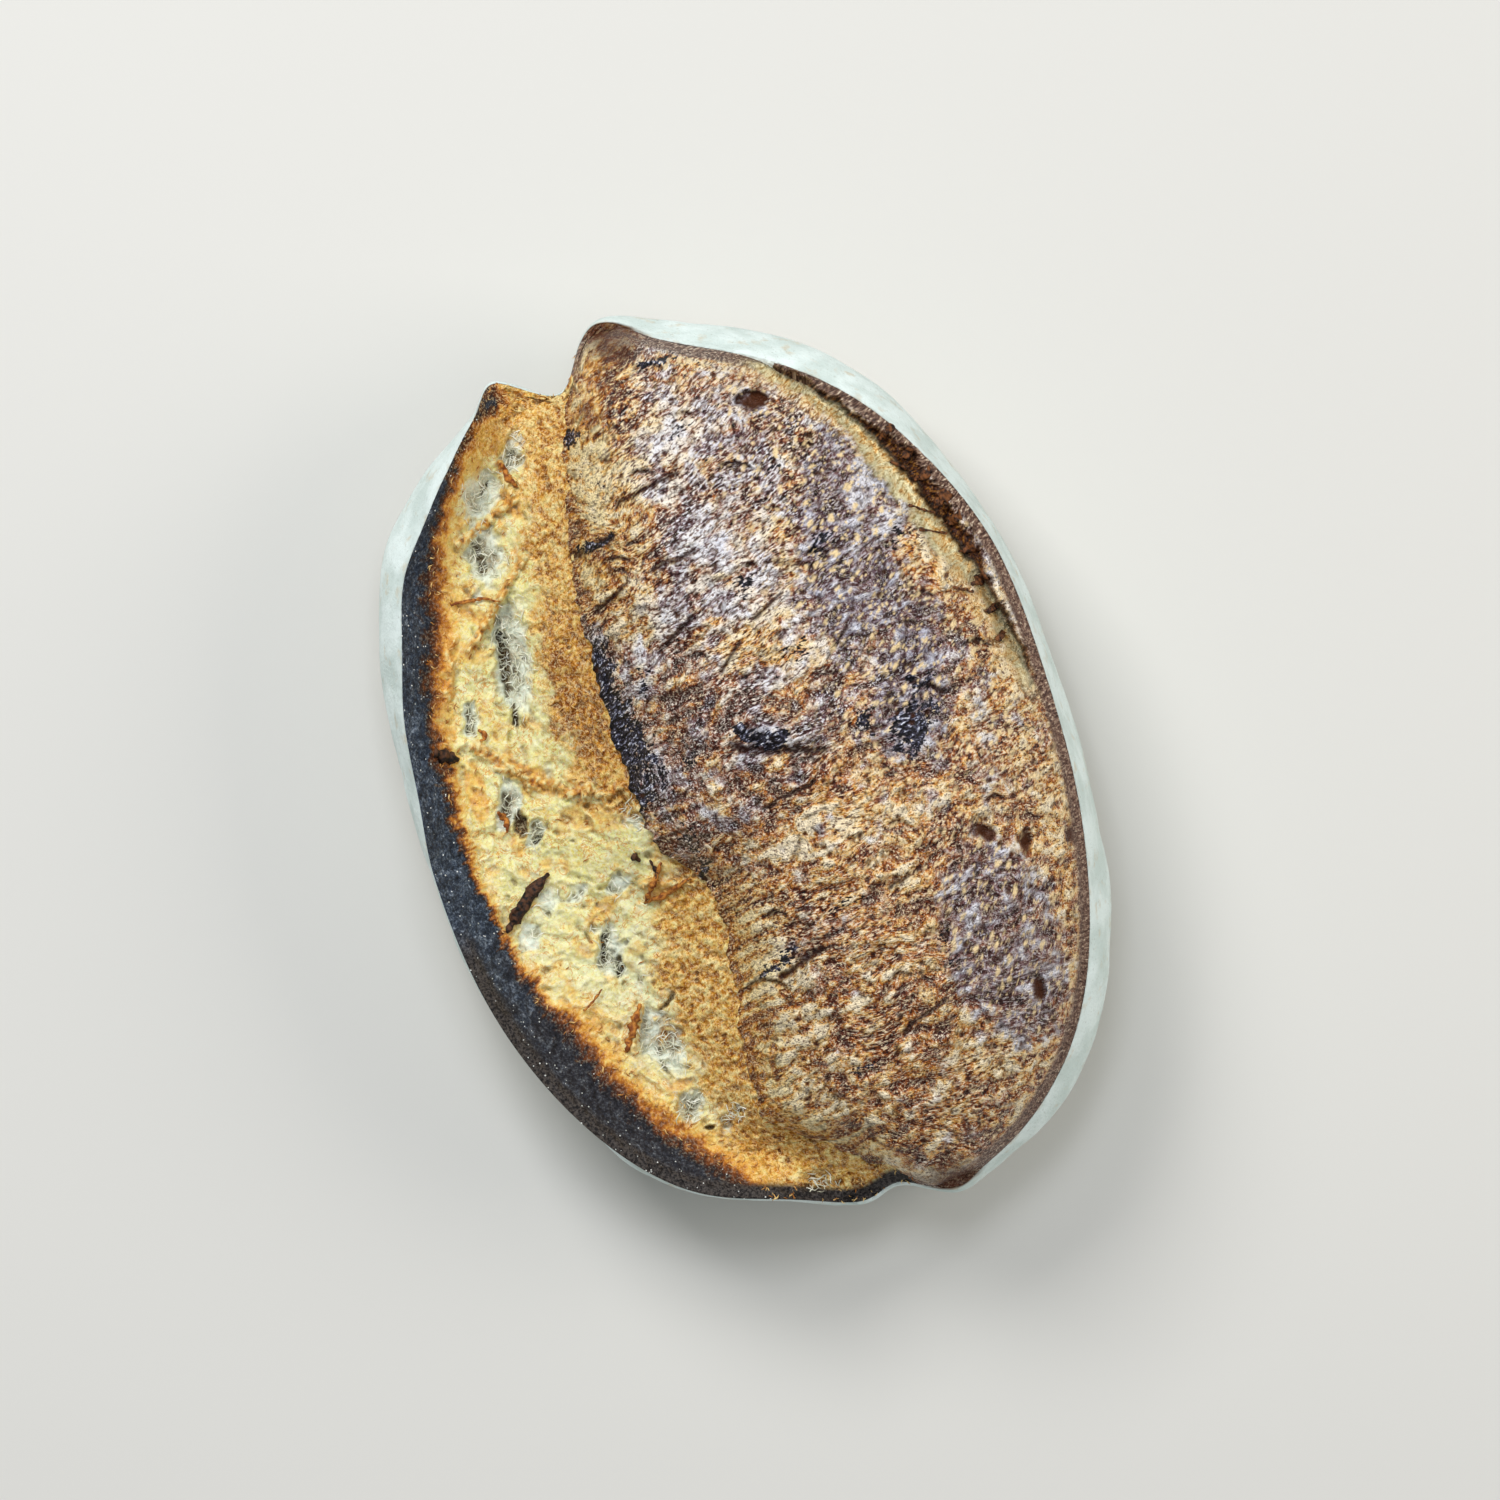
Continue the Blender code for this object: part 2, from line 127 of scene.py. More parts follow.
CRUMB_STRANDS = (
    (-33, 81, -45, 72, 1.6, 3.0), (-45, 72, -58, 62, 1.8, 3.2), (-67, 36, -57, 22, 2.0, 2.6),
    (-57, 22, -44, 11, 2.2, 3.0), (-44, 11, -34, 9, 1.8, 2.6), (-31, 97, -49, 91, 1.8, 2.8),
    (-30, 108, -29, 97, 1.4, 2.4), (-34, 8, -24, -12, 1.8, 2.4), (-52, -50, -60, -62, 1.2, 2.0),
    (-38, -18, -25, -24, 1.4, 2.0), (-62, 66, -69, 52, 1.6, 2.0), (-47, 18, -36, 4, 1.4, 1.6),
)
CRUST_BLISTERS = (
    (15, 8, 13.0, 5.5, -33, 2.8), (45, 96, 5.5, 4.0, -10, -2.6), (32, 78, 7.0, 5.0, 10, 1.6),
    (50, -7, 11.0, 9.0, 40, 2.0), (-18, -66, 9.0, 7.0, 20, 1.8), (57, -43, 4.0, 2.6, -50, -2.8),
    (67, -50, 4.4, 2.2, 70, -2.6), (80, -53, 4.4, 2.4, 75, -3.2), (54, -90, 4.4, 2.2, 70, -2.6),
    (43, -118, 3.4, 2.4, 60, -2.2),
)
HOLE_CURVE = 0.7
ARC_PER_DEGREE = 1.9
BLISTER_CURVE = 0.6
LUMP_SIZE = 26
LUMP_HEIGHT = 1.3
LEAST_GAP = 1.5
NEAR_MIDLINE = 6
EDGE_STEPS = 2881

# Where the ear's char and its toasted fringe end, as (Y, X)
CHAR_LINE = (
    (-118, -38), (-107, -48), (-97, -55), (-85, -63), (-69, -70), (-52, -75), (-31, -81), (-3, -82.5),
    (27, -81), (54, -75), (72, -67), (85, -62), (99, -53), (109, -44), (122, -26),
)
TOAST_LINE = (
    (-118, -30), (-102, -43), (-90, -51), (-76, -59), (-61, -65), (-46, -68), (-38, -75), (-11, -79.5),
    (8, -79), (27, -75), (45, -71), (58, -65), (67, -59.5), (82, -53.5), (102, -45), (110, -36),
    (122, -18),
)
# Where the crumb turns tan towards the crust
TAN_LINE = (
    (-130, -28), (-98, -45), (-86, -44), (-73, -45), (-60, -48), (-48, -46), (-34, -43), (-19, -32),
    (-11, -31), (-3, -32), (8, -40), (16, -43), (25, -44), (43, -43), (63, -37), (79, -32), (96, -27),
    (114, -19), (130, -10),
)
# Toasted patches in the open crumb: X, Y, half length, half width, turn in degrees, strength
TOAST_PATCHES = (
    (-72, 24, 11, 3.4, 80, 0.9), (-55, 21, 12, 3.6, 130, 0.9), (-66, 6, 5, 3, 60, 0.8),
    (-43, 4, 12, 5, 150, 0.7), (-52, -21, 7, 3, 20, 0.8), (-33, -24, 9, 5, 130, 0.8),
    (-57, -34, 10, 2.6, 90, 0.7), (-64, -50, 7, 2.4, 110, 0.6), (-45, 97, 7, 2.4, 10, 0.8),
    (-31, 97, 7, 3.4, 110, 0.9), (-52, 70, 12, 2.6, 126, 0.8), (-29, -14, 8, 4, 60, 0.6),
    (-44, -70, 8, 3, 80, 0.5), (-33, 118, 12, 5, 140, 0.9), (-54, 94, 7, 3, 60, 0.6),
    (-38, -104, 9, 4, 120, 0.8), (-70, 50, 12, 2.0, 78, 0.7), (-34, 12, 8, 4, 90, 0.7),
    (-40, 84, 6, 2, 80, 0.5), (-42, -46, 8, 3, 60, 0.5),
)
# Arcs where a fold of crust stands over the hollow below it, a painted shadow line under each: top X, Y,
# radius, half span in degrees, height
CRUST_FOLDS = (
    (25, 101, 3.5, 60, 0.9), (45, 99, 6.5, 62, 2.0), (33, 82, 7.0, 62, 1.7), (22, 117, 9.0, 28, 1.0),
    (54, 79, 3.0, 60, 0.9), (45, 50, 4.5, 60, 1.0), (68, 27, 4.0, 60, 0.9), (76, 9, 5.5, 62, 1.3),
    (26, 54, 2.2, 80, 1.2), (61, 21, 3.0, 60, 0.8), (-6, -40, 4.5, 60, 1.0), (-16, -57, 9.0, 58, 1.6),
    (36, -30, 5.0, 50, 0.9), (64, -34, 4.0, 60, 1.0), (38, 66, 4.0, 50, 0.8), (-8, 70, 6.0, 45, 0.9),
    (8, 90, 7.0, 40, 0.9), (2, 36, 5.0, 50, 0.9), (20, -70, 6.0, 40, 0.8),
)
# Creases under lifted edges, sunk and painted with shadow: two ends as X and Y, half width, depth
CRUST_CREASES = (
    (1, 7, 12, 1, 1.0, 1.2), (14, 1, 24, -4, 0.9, 1.0), (-22, 75, -8, 76, 1.1, 1.2),
    (-1, 62, 12, 63, 0.7, 0.7), (-2, 84, 16, 85, 0.7, 0.8), (30, 52, 42, 46, 0.6, 0.6),
    (20, 38, 30, 42, 0.6, 0.7), (2, -12, 18, -10, 0.7, 0.6), (-12, -58, 2, -55, 1.0, 1.0),
    (26, -46, 36, -44, 0.6, 0.6), (54, 6, 62, -2, 0.8, 0.9), (-20, 58, -9, 62, 0.6, 0.6),
    (6, 28, 14, 34, 0.6, 0.6), (14, -86, 28, -82, 0.7, 0.6), (36, 20, 44, 26, 0.6, 0.6),
    (-8, 40, 4, 46, 0.7, 0.7),
)
FOLD_DIRECTION = 67
FOLD_REACH = 2.6

# Patches of the crust: X, Y, half length, half width, turn in degrees, strength. The mauve ones are a painted
# bluish sky reflection; the pale ones are partly a painted sheen
SKY_REFLECTION_PATCHES = (
    (56, 52, 40, 19, 68, 1.1), (50, -74, 40, 22, 84, 0.9), (52, -2, 20, 14, 40, 1.0),
    (60, 18, 20, 13, 60, 0.8), (40, 102, 18, 7, 150, 0.6), (66, -26, 22, 8, 80, 0.5),
    (10, 8, 14, 6, 10, 0.6), (38, 88, 18, 8, 30, 0.6), (-3, 108, 10, 6, 60, 0.9),
    (2, -52, 14, 5, 10, 0.6), (24, 66, 16, 8, 40, 0.5),
)
GOLD_PATCHES = (
    (-6, 92, 34, 13, 100, 0.9), (70, 36, 60, 8, 108, 0.8), (-12, -86, 40, 14, 82, 0.9),
    (24, -24, 40, 12, -6, 0.7), (26, -112, 30, 12, -20, 0.6), (78, -30, 50, 9, 82, 0.7),
    (36, 108, 20, 7, 150, 0.6), (10, 30, 30, 8, 10, 0.5), (-14, 62, 16, 10, 80, 0.7),
    (-2, -30, 24, 10, 20, 0.6),
)
PALE_AND_SHEEN_PATCHES = (
    (20, 52, 28, 20, 60, 0.9), (22, -24, 36, 10, -4, 0.7), (77, -28, 44, 7, 84, 0.4),
    (20, 92, 28, 16, 20, 1.0), (-12, 46, 20, 10, 80, 1.0), (-5, 92, 18, 12, 90, 0.8),
    (-16, -52, 18, 10, 80, 0.7), (26, 24, 18, 10, 30, 0.5), (64, 46, 40, 6, 118, 0.3),
    (-14, -78, 34, 10, 74, 0.6), (40, -104, 24, 8, 160, 0.5), (10, 28, 14, 7, 12, 0.4),
)
BURNT_PATCHES = (
    (-26, 46, 8, 4.0, 95, 1.0), (-24, 22, 22, 4.4, 97, 1.0), (-7.4, 106, 3.6, 2.4, 60, 1.2),
    (50, -7, 11, 7, 40, 1.0), (8.5, 7.5, 8.5, 3.8, -28, 1.7), (-21, -12, 11, 3.0, 80, 0.55),
    (-12, -54, 9, 3.0, 20, 0.9), (-20, -22, 6, 2.6, 60, 0.8), (-13, 76, 9, 2.0, 2, 1.1),
    (24, 116, 7, 2.0, -5, 1.0), (66, 44, 6, 2.0, 60, 0.6), (38, 0, 6, 3, 60, 0.8),
    (46, 50, 5, 3, 20, 0.7), (30, 26, 7, 3, 30, 0.6), (-2, -92, 7, 2.4, 20, 0.6), (22, 48, 6, 3, 40, 0.7),
    (57, 4, 4, 3, 10, 0.9), (-16, 34, 7, 3.4, 80, 0.7), (-10, 8, 6, 2.8, 20, 0.5),
    (12, -46, 9, 2.2, 10, 0.5), (20, 96, 8, 2.2, 20, 0.5), (34, -70, 8, 4, 80, 0.5),
    (42, 76, 6, 3, 30, 0.5),
)

# Loose shreds: line of X and Y, half widths along it, half thickness, lift, sway
TOASTED_SHREDS = (
    (((-57.9, 76.3), (-52.7, 75.3), (-48.2, 74.3), (-44.4, 71.5)), (0.3, 0.5, 0.4, 0.15), 0.35, 1.0, 0.3),
    (((-64.5, 40.3), (-63.3, 38.8), (-63.7, 37.1), (-65.2, 37.2)), (0.4, 0.7, 0.6, 0.3), 0.5, 0.8, 0.2),
    (((-31.1, -14.9), (-35.2, -19.4), (-39.9, -23.9)), (0.4, 0.7, 0.8, 0.3), 0.5, 1.0, 0.6),
    (((-39.9, -23.9), (-34.1, -24.1), (-25.3, -22.3)), (0.3, 0.9, 0.7, 0.3), 0.6, 0.5, 0.8),
    (((-68.4, -45.6), (-65.0, -44.3), (-60.8, -41.7)), (0.2, 0.4, 0.35, 0.15), 0.3, 1.1, 0.4),
    (((-61.3, -61.0), (-57.5, -55.8), (-52.5, -49.9)), (0.5, 1.4, 1.2, 0.4), 0.6, 0.4, 0.7),
    (((-28.8, 108.3), (-28.5, 103.2), (-26.9, 99.7)), (0.4, 1.0, 0.9, 0.3), 0.5, 0.6, 0.5),
    (((-68.7, 16.6), (-67.2, 13.5), (-68.3, 10.2)), (0.4, 1.0, 0.9, 0.3), 0.5, 0.9, 0.6),
)
CHARRED_SHREDS = (
    (((-79.7, -16.0), (-73.8, -12.3), (-68.8, -8.5), (-62.2, -5.4)),
     (0.8, 1.9, 1.6, 1.9, 0.7), 0.8, 0.9, 0.9),
    (((-75.9, -11.4), (-70.9, -9.8), (-66.1, -8.7)), (0.5, 1.2, 0.8, 0.3), 0.6, 1.3, 0.8),
    (((-78.5, 39.4), (-75.9, 36.7), (-73.1, 34.6)), (1.2, 1.9, 1.6, 0.8), 1.1, 0.7, 0.4),
    (((-38.0, -9.8), (-37.2, -11.0), (-36.5, -12.3)), (0.8, 1.3, 1.2, 0.6), 1.1, 0.7, 0.1),
    (((-33.8, -13.1), (-33.3, -17.1), (-34.7, -18.9)), (0.3, 0.6, 0.5, 0.2), 0.4, 1.2, 0.4),
)
# Flakes of skin that stand in the crack: line of X and Y, half width at its foot
CRACK_FLAKES = (
    (((78.7, 74.2), (75.6, 72.5), (73.1, 71.9)), 1.0),
    (((81.1, 66.0), (78.7, 64.8), (76.8, 64.7)), 1.4),
    (((83.4, 58.2), (80.6, 57.2), (78.3, 57.2)), 1.6),
    (((85.7, 50.4), (82.7, 48.6), (80.2, 47.8)), 1.9),
    (((86.3, 43.0), (83.4, 42.2), (81.0, 42.4)), 1.5),
    (((86.1, 33.8), (83.6, 33.1), (81.6, 33.5)), 1.3),
    (((85.9, 24.6), (83.2, 23.5), (81.1, 23.5)), 1.5),
    (((85.7, 15.3), (83.5, 14.5), (81.7, 14.8)), 1.2),
    (((84.8, 7.3), (82.8, 6.3), (81.2, 6.3)), 1.0),
)
# Thin strips of skin across the crack: line of X and Y
CRACK_STRIPS = (
    ((73.6, 51.2), (76.8, 48.6), (80.1, 46.0)),
    ((73.5, 43.8), (77.0, 41.7), (80.5, 39.6)),
    ((73.8, 64.8), (75.7, 62.7), (77.6, 60.7)),
    ((76.0, 24.7), (78.4, 23.1), (80.8, 21.4)),
)
# Both kinds as loose shreds
CRACK_BITS = (
    *((line, (wide, 0.9 * wide, 0.3), 0.35, 0.25, 0.5) for line, wide in CRACK_FLAKES),
    *((line, (0.5, 0.3, 0.45), 0.35, 0.5, 0.3) for line in CRACK_STRIPS),
)
# Each kind's name, the piece that it lies on, its two colours and its shreds
SHRED_KINDS = (
    ("toasted_shreds", "torn_crumb", "#7A3E16", "#C98438", TOASTED_SHREDS),
    ("charred_shreds", "torn_crumb", "#120D0C", "#5A3A26", CHARRED_SHREDS),
    ("crack_flakes", "baked_crust", "#23100A", "#7A4A26", CRACK_BITS),
)
SHRED_STEPS = 17
SHRED_SEED = 200
SHRED_SEED_STEP = 7
SHRED_RAGGED = 0.9
# How near a shred's points the corners are that it lies on
NEAR_ENOUGH = 0.8

# Strands scattered over the crumb: name, half widths and half thickness in thousandths of their length,
# mask, which count, least and most length in mm, tilt, material, its two colours, seed
STRAND_KINDS = (
    ("torn_fibres", (20, 75, 90, 60, 15), 60, "tufts", "fibres", (1.0, 2.6), 0.5,
     "toasted_fibre", "#A8641E", "#F2CE86", 9),
    ("crumb_threads", (15, 30, 40, 30, 15), 40, "hollow", "threads", (2.0, 5.0), 0.35,
     "crumb_thread", "#DCDCC0", "#FFFFF0", 12),
)
STRAND_GRAIN = 2.5
GRAIN_SIZES = (0.25, 0.6)
GRAIN_TILT = 3.0
GRAIN_SEED = 4
SIZE_SEED = 5

# How the ear's edge rolls over towards the -Y end: drop, where it starts and is full, last direction
EAR_ROLL = 2.6
EAR_ROLL_START = (-2, 14)
EAR_ROLL_LAST = 262
# How far in from the torn edge its unevenness fades out
WOBBLE_REACH = 9
# The skin has lost its flour between these directions, under the ear's charred edge
BARE_ENDS = (182, 206, 238, 262)
# How far the crumb runs on under the crust's edge, as a share of the half width
UNDER_CRUST = 0.085
# Hidden skirts under the tops: share of the way to the centre, drop in mm; then the centre
CRUMB_SKIRTS = ((0.035, 5), (0.07, 24))
CRUMB_CENTRE = (-52, 0, 8)
CRUST_SKIRTS = ((0.012, 2.2), (0.10, 11))
CRUST_CENTRE = (22, 0, 8)
# Rings of the skin inside its torn edge, as share inward and drop, and rings of the base, as share outward
SKIN_INNER_RINGS = ((0.16, 32), (0.1, 21), (0.025, 6.5))
SKIN_INNER_CENTRE = (0, 0, 12)
SKIN_BASE_RINGS = (0.97, 0.9, 0.78, 0.6, 0.38, 0.15)
# The flow map's units to a millimetre
FLOW_SCALE = 0.01
# Where the crust's colours stand on their scale from dark to light
CRUST_TONES = (0.02, 0.22, 0.42, 0.60, 0.80, 0.96)

# Camera over the loaf, turned so that the loaf leans as in the photograph
CAMERA_HEIGHT = 6.0
CAMERA_ROLL = 23
VIEW_CENTRE = (4.79, 4.65)
PIXELS_PER_MM = 3.5
PICTURE_PIXELS = 1500
SENSOR_WIDTH = 36
SCALE_HEIGHT = 0.05
FARTHEST_SEEN = 20
FLOOR_REACH = 3000
FLOOR_DROP = 0.2
FLOOR_COLOUR = "#D5D3CD"
FLOOR_ROUGHNESS = 0.9
ROOM_COLOUR = "#E9EEF2"
ROOM_LIGHT = 0.42
LIGHT_AIM = (0, 0, 0.05)
# Name, place in metres, size in metres, power in watts, tint
LIGHTS = (
    ("key", (-0.25, 1.15, 1.35), (0.7, 0.7), 19, "#FFFFFF"),
    ("overhead", (0.10, 0.42, 1.6), (0.4, 0.4), 6.4, "#EEF4FF"),
    ("fill", (1.3, -0.3, 1.0), (1.0, 1.0), 9.6, "#FFFAF2"),
)


def smooth_curve(at, places, values):
    """Value at each point of the smooth curve that never overshoots its knots."""
    places = np.stack([np.broadcast_to(p, at.shape) for p in places])
    values = np.stack([np.broadcast_to(v, at.shape) for v in values])
    steps = np.diff(places, axis=0)
    slopes = np.diff(values, axis=0) / steps
    before, after = slopes[:-1], slopes[1:]
    same_way = before * after > 0
    inner = np.where(same_way, 2 * before * after / np.where(same_way, before + after, 1), 0)
    tangents = np.concatenate([slopes[:1], inner, slopes[-1:]])
    knot = np.clip((at >= places).sum(axis=0) - 1, 0, len(steps) - 1)[None]
    start, width = (np.take_along_axis(rows, knot, 0)[0] for rows in (places, steps))
    low, high = (np.take_along_axis(values, knot + k, 0)[0] for k in (0, 1))
    leave, arrive = (np.take_along_axis(tangents, knot + k, 0)[0] * width for k in (0, 1))
    t = np.clip((at - start) / width, 0, 1)
    turn = t * t * (3 - 2 * t)
    return low + (high - low) * turn + (t**3 - 2 * t**2 + t) * leave + (t**3 - t**2) * arrive


def along(points, at):
    """Value at each Y, or each direction, of a curve given as (place, value) pairs."""
    grid = np.linspace(points[0][0], points[-1][0], 4001)
    return np.interp(at, grid, smooth_curve(grid, [p for p, _ in points], [v for _, v in points]))


def fade(at, start, full):
    """0 before start, 1 after full, with a smooth turn between them."""
    t = np.clip((at - start) / (full - start), 0, 1)
    return t * t * (3 - 2 * t)


def between(at, ends):
    """1 between the second and third of four ends, 0 beyond the outer two."""
    begin, full, last, end = ends
    return fade(at, begin, full) * (1 - fade(at, last, end))


def scatter(cell, seed):
    """A settled number from 0 to 1 for each whole-numbered place."""
    mixed = np.full(cell[0].shape, seed * 374761393 & 0xFFFFFFFF, np.int64)
    for axis, prime in zip(cell, (668265263, 2147483647, 1274126177)):
        mixed = (mixed ^ (axis * prime)) & 0xFFFFFFFF
        mixed = ((mixed ^ (mixed >> 15)) * 2246822519) & 0xFFFFFFFF
        mixed = ((mixed ^ (mixed >> 13)) * 3266489917) & 0xFFFFFFFF
    return (mixed ^ (mixed >> 16)) / 0xFFFFFFFF


def ripple(at, seed):
    """Smooth noise from about -1 to 1, in lumps one unit across; at has a row for each axis."""
    at = np.stack(np.broadcast_arrays(*at))
    cell = np.floor(at).astype(np.int64)
    part = at - cell
    ease = part**3 * (part * (part * 6 - 15) + 10)
    total = 0
    for corner in itertools.product((0, 1), repeat=len(at)):
        spot = [cell[k] + step for k, step in enumerate(corner)]
        weight, slope = 1, 0
        for k, step in enumerate(corner):
            weight = weight * (ease[k] if step else 1 - ease[k])
            slope = slope + (2 * scatter(spot, seed + 17 * k) - 1) * (part[k] - step)
        total = total + weight * slope
    return 1.7 * total


def rough(at, seed, layers=3, gain=0.5):
    """Noise in layers, each twice as fine as the last."""
    total, share, whole = 0, 1, 0
    for layer in range(layers):
        total = total + share * ripple([axis * 2**layer for axis in at], seed + 101 * layer)
        whole += share
        share *= gain
    return total / whole


def bubbles(at, seed):
    """Distances to the nearest and the next of scattered points, one to a unit, and the nearest's number."""
    at = np.stack(np.broadcast_arrays(*at))
    cell = np.floor(at).astype(np.int64)
    near = np.full(at[0].shape, 9.0)
    next_near, number = near.copy(), near.copy()
    for step in itertools.product((-1, 0, 1), repeat=len(at)):
        spot = [cell[k] + s for k, s in enumerate(step)]
        away = sum((spot[k] + scatter(spot, seed + 31 * k) - at[k]) ** 2 for k in range(len(at))) ** 0.5
        closer = away < near
        next_near = np.where(closer, near, np.minimum(next_near, away))
        number = np.where(closer, scatter(spot, seed + 7), number)
        near = np.where(closer, away, near)
    return near, next_near, number


def outline_radius(angle, ends=1.0):
    """Reach of the loaf in each direction, in radians from +X, with its end lobes at this share."""
    across = np.abs(np.cos(angle) / HALF_WIDTH) ** OVAL_POWER
    lengthwise = np.abs(np.sin(angle) / HALF_LENGTH) ** OVAL_POWER
    radius = (across + lengthwise) ** (-1 / OVAL_POWER)
    for lobes, kept in ((OUTLINE_LOBES, 1.0), (END_LOBES, ends)):
        for direction, height, spread in lobes:
            away = (np.degrees(angle) - direction + 180) % 360 - 180
            radius = radius + kept * height * np.exp(-((away / spread) ** 2))
    return radius


def crest_radius(angle):
    """Reach of the torn edge of the skin, where the top meets the side."""
    degrees = (np.degrees(angle) + 90) % 360 - 90
    return outline_radius(angle) - along(BAND_WIDTHS, degrees)


def crest_span(y):
    """Left and right X of the torn edge at each Y, by walking round the edge."""
    angle = np.linspace(-math.pi, math.pi, EDGE_STEPS)
    edge_x, edge_y = crest_radius(angle) * np.cos(angle), crest_radius(angle) * np.sin(angle)
    right = edge_x > NEAR_MIDLINE
    left = edge_x < -NEAR_MIDLINE
    order = np.argsort(edge_y[left])
    xl = np.interp(y, edge_y[left][order], edge_x[left][order])
    order = np.argsort(edge_y[right])
    xr = np.interp(y, edge_y[right][order], edge_x[right][order])
    return xl, xr


def fall_to_ends(y, heights):
    """Height that goes from its mid-length value to its value at the ends."""
    power, root = END_ROUNDING
    share = np.clip(1 - np.abs(y / REACH) ** power, 0, 1) ** root
    return heights[1] + (heights[0] - heights[1]) * share


def body_height(x, y):
    """Height of the top without its ear, crack or relief, from rails that run along the loaf."""
    left, right = crest_span(y)
    valley, crust = along(VALLEY_LINE, y), along(CRUST_LINE, y)
    peak = along(PEAK_LINE, y)
    top, foot = fall_to_ends(y, PEAK_HEIGHTS), fall_to_ends(y, CRUST_HEIGHTS)
    rim = fall_to_ends(y, RIGHT_RIM_HEIGHTS)
    valley = np.maximum(valley, left + LEAST_GAP)
    crust = np.maximum(crust, valley + LEAST_GAP)
    peak = np.maximum(peak, crust + 2 * LEAST_GAP)
    right = np.maximum(right, peak + 3 * LEAST_GAP)
    places, heights = [left, valley], [fall_to_ends(y, heights) for heights in LEFT_HEIGHTS]
    for across, up in DOME_LEFT:
        places.append(crust + across * (peak - crust))
        heights.append(foot + up * (top - foot))
    for across, up in DOME_RIGHT:
        places.append(peak + across * (right - peak))
        heights.append(rim + up * (top - rim))
    return smooth_curve(x, places, heights)


def inside_crest(x, y):
    """Distance in from the torn edge of the skin, along the line to the loaf's middle."""
    return crest_radius(np.arctan2(y, x)) - np.hypot(x, y)


def ear_rise(x, y, lift):
    """The left flap of skin, raised along the torn edge between its two horns."""
    window = between(np.degrees(np.arctan2(y, x)) % 360, EAR_ENDS)
    inside = np.clip(inside_crest(x, y), 0, None)
    return window * lift * np.clip(1 - inside / EAR_SPREAD, 0, 1) ** EAR_CURVE


def crack_share(x, y):
    """1 along the middle of the crack between the dome and the right flap, 0 away from it."""
    step = 0.5
    line = along(CRACK_LINE, y)
    lean = (along(CRACK_LINE, y + step) - line) / step
    away = (x - line) / np.hypot(1, lean) + 2.4 * rough([x / 6, y / 6], 5, 4, 0.7)
    half = CRACK_HALF_WIDTH * (0.55 + 0.75 * between(y, CRACK_WIDEST))
    return np.exp(-np.abs(away / half) ** 4) * between(y, CRACK_ENDS), away


def groove_cut(x, y):
    """Depth of the groove just inside the right flap's edge."""
    away = (inside_crest(x, y) - GROOVE_INSET) / GROOVE_HALF_WIDTH
    return GROOVE_DEPTH * np.exp(-(away**2)) * fade(x, *GROOVE_START)


def oval_share(x, y, oval, ragged=0.0):
    """1 at the middle of an oval feature, 0 at its edge and beyond."""
    middle_x, middle_y, half_long, half_wide, turn = oval[:5]
    cos, sin = math.cos(math.radians(turn)), math.sin(math.radians(turn))
    dx, dy = x - middle_x, y - middle_y
    reach = ((dx * cos + dy * sin) / half_long) ** 2 + ((dy * cos - dx * sin) / half_wide) ** 2
    return np.clip(1 - reach + ragged, 0, 1)


def strand_share(x, y, strand):
    """1 on the middle line of a strand, 0 beyond its half width."""
    x0, y0, x1, y1, half_width, _ = strand
    run_x, run_y = x1 - x0, y1 - y0
    t = np.clip(((x - x0) * run_x + (y - y0) * run_y) / (run_x**2 + run_y**2), 0, 1)
    away = np.hypot(x - x0 - t * run_x, y - y0 - t * run_y)
    return np.clip(1 - (away / half_width) ** 2, 0, 1)


def plan_of(a, b):
    """Carries a square, corners at 1 and -1, onto the loaf's plan inside the torn edge."""
    u, v = a * np.sqrt(1 - b * b / 2), b * np.sqrt(1 - a * a / 2)
    angle = np.arctan2(v * HALF_LENGTH, u * HALF_WIDTH)
    reach = np.hypot(u, v) * crest_radius(angle)
    return reach * np.cos(angle), reach * np.sin(angle)


def crust_edge(y):
    """The ragged left edge of the dome's crust."""
    ragged = 2.2 * ripple([y / 9], 41), 1.3 * ripple([y / 3.4], 42), 0.6 * ripple([y / 1.6], 49)
    return along(CRUST_LINE, y) + ragged[0] + ragged[1] + ragged[2]


def edge_columns(rows):
    """Where the crust's ragged edge crosses each row of the square."""
    steps = np.linspace(-1, 1, 900)
    x, y = plan_of(steps[None, :], rows[:, None])
    before = (x < crust_edge(y)).sum(axis=1).clip(1, len(steps) - 1)
    row = np.arange(len(rows))
    low, high = ((x - crust_edge(y))[row, before + k] for k in (-1, 0))
    share = np.clip(-low / np.where(high == low, 1, high - low), 0, 1)
    return steps[before - 1] + share * (steps[1] - steps[0])


def crest_wobble(angle):
    """Small unevenness in the height of the torn edge."""
    degrees = np.degrees(angle)
    slow = 0.9 * np.sin(degrees * 0.23 + 1)
    return slow + 0.7 * ripple([degrees / 4.2], 61) + 0.45 * ripple([degrees / 1.4], 62)


def edge_roll(y, degrees):
    """How far the ear's edge rolls over."""
    return fade(-y, *EAR_ROLL_START) * (degrees < EAR_ROLL_LAST) * EAR_ROLL


def lumps(points):
    """Slow unevenness, as in the part's source, given for points in mm."""
    return LUMP_HEIGHT * 0.8 * ripple([axis / LUMP_SIZE for axis in points], 3)


def bowls(near, far, rim=0.7):
    """Rounded hollows that meet in sharp rims, as in cut foam: 0 on the rims, 1 at the bottoms."""
    return 1 - (1 - np.clip((far - near) / rim, 0, 1)) ** 2


def horn_share(x, y):
    """1 at the tips of the horns, 0 a little way from them."""
    away = np.min([np.hypot(x - tip_x, y - tip_y) for tip_x, tip_y in HORN_TIPS], axis=0)
    return 1 - fade(away + 2 * rough([x / 3, y / 3], 57), *HORN_BROWN)


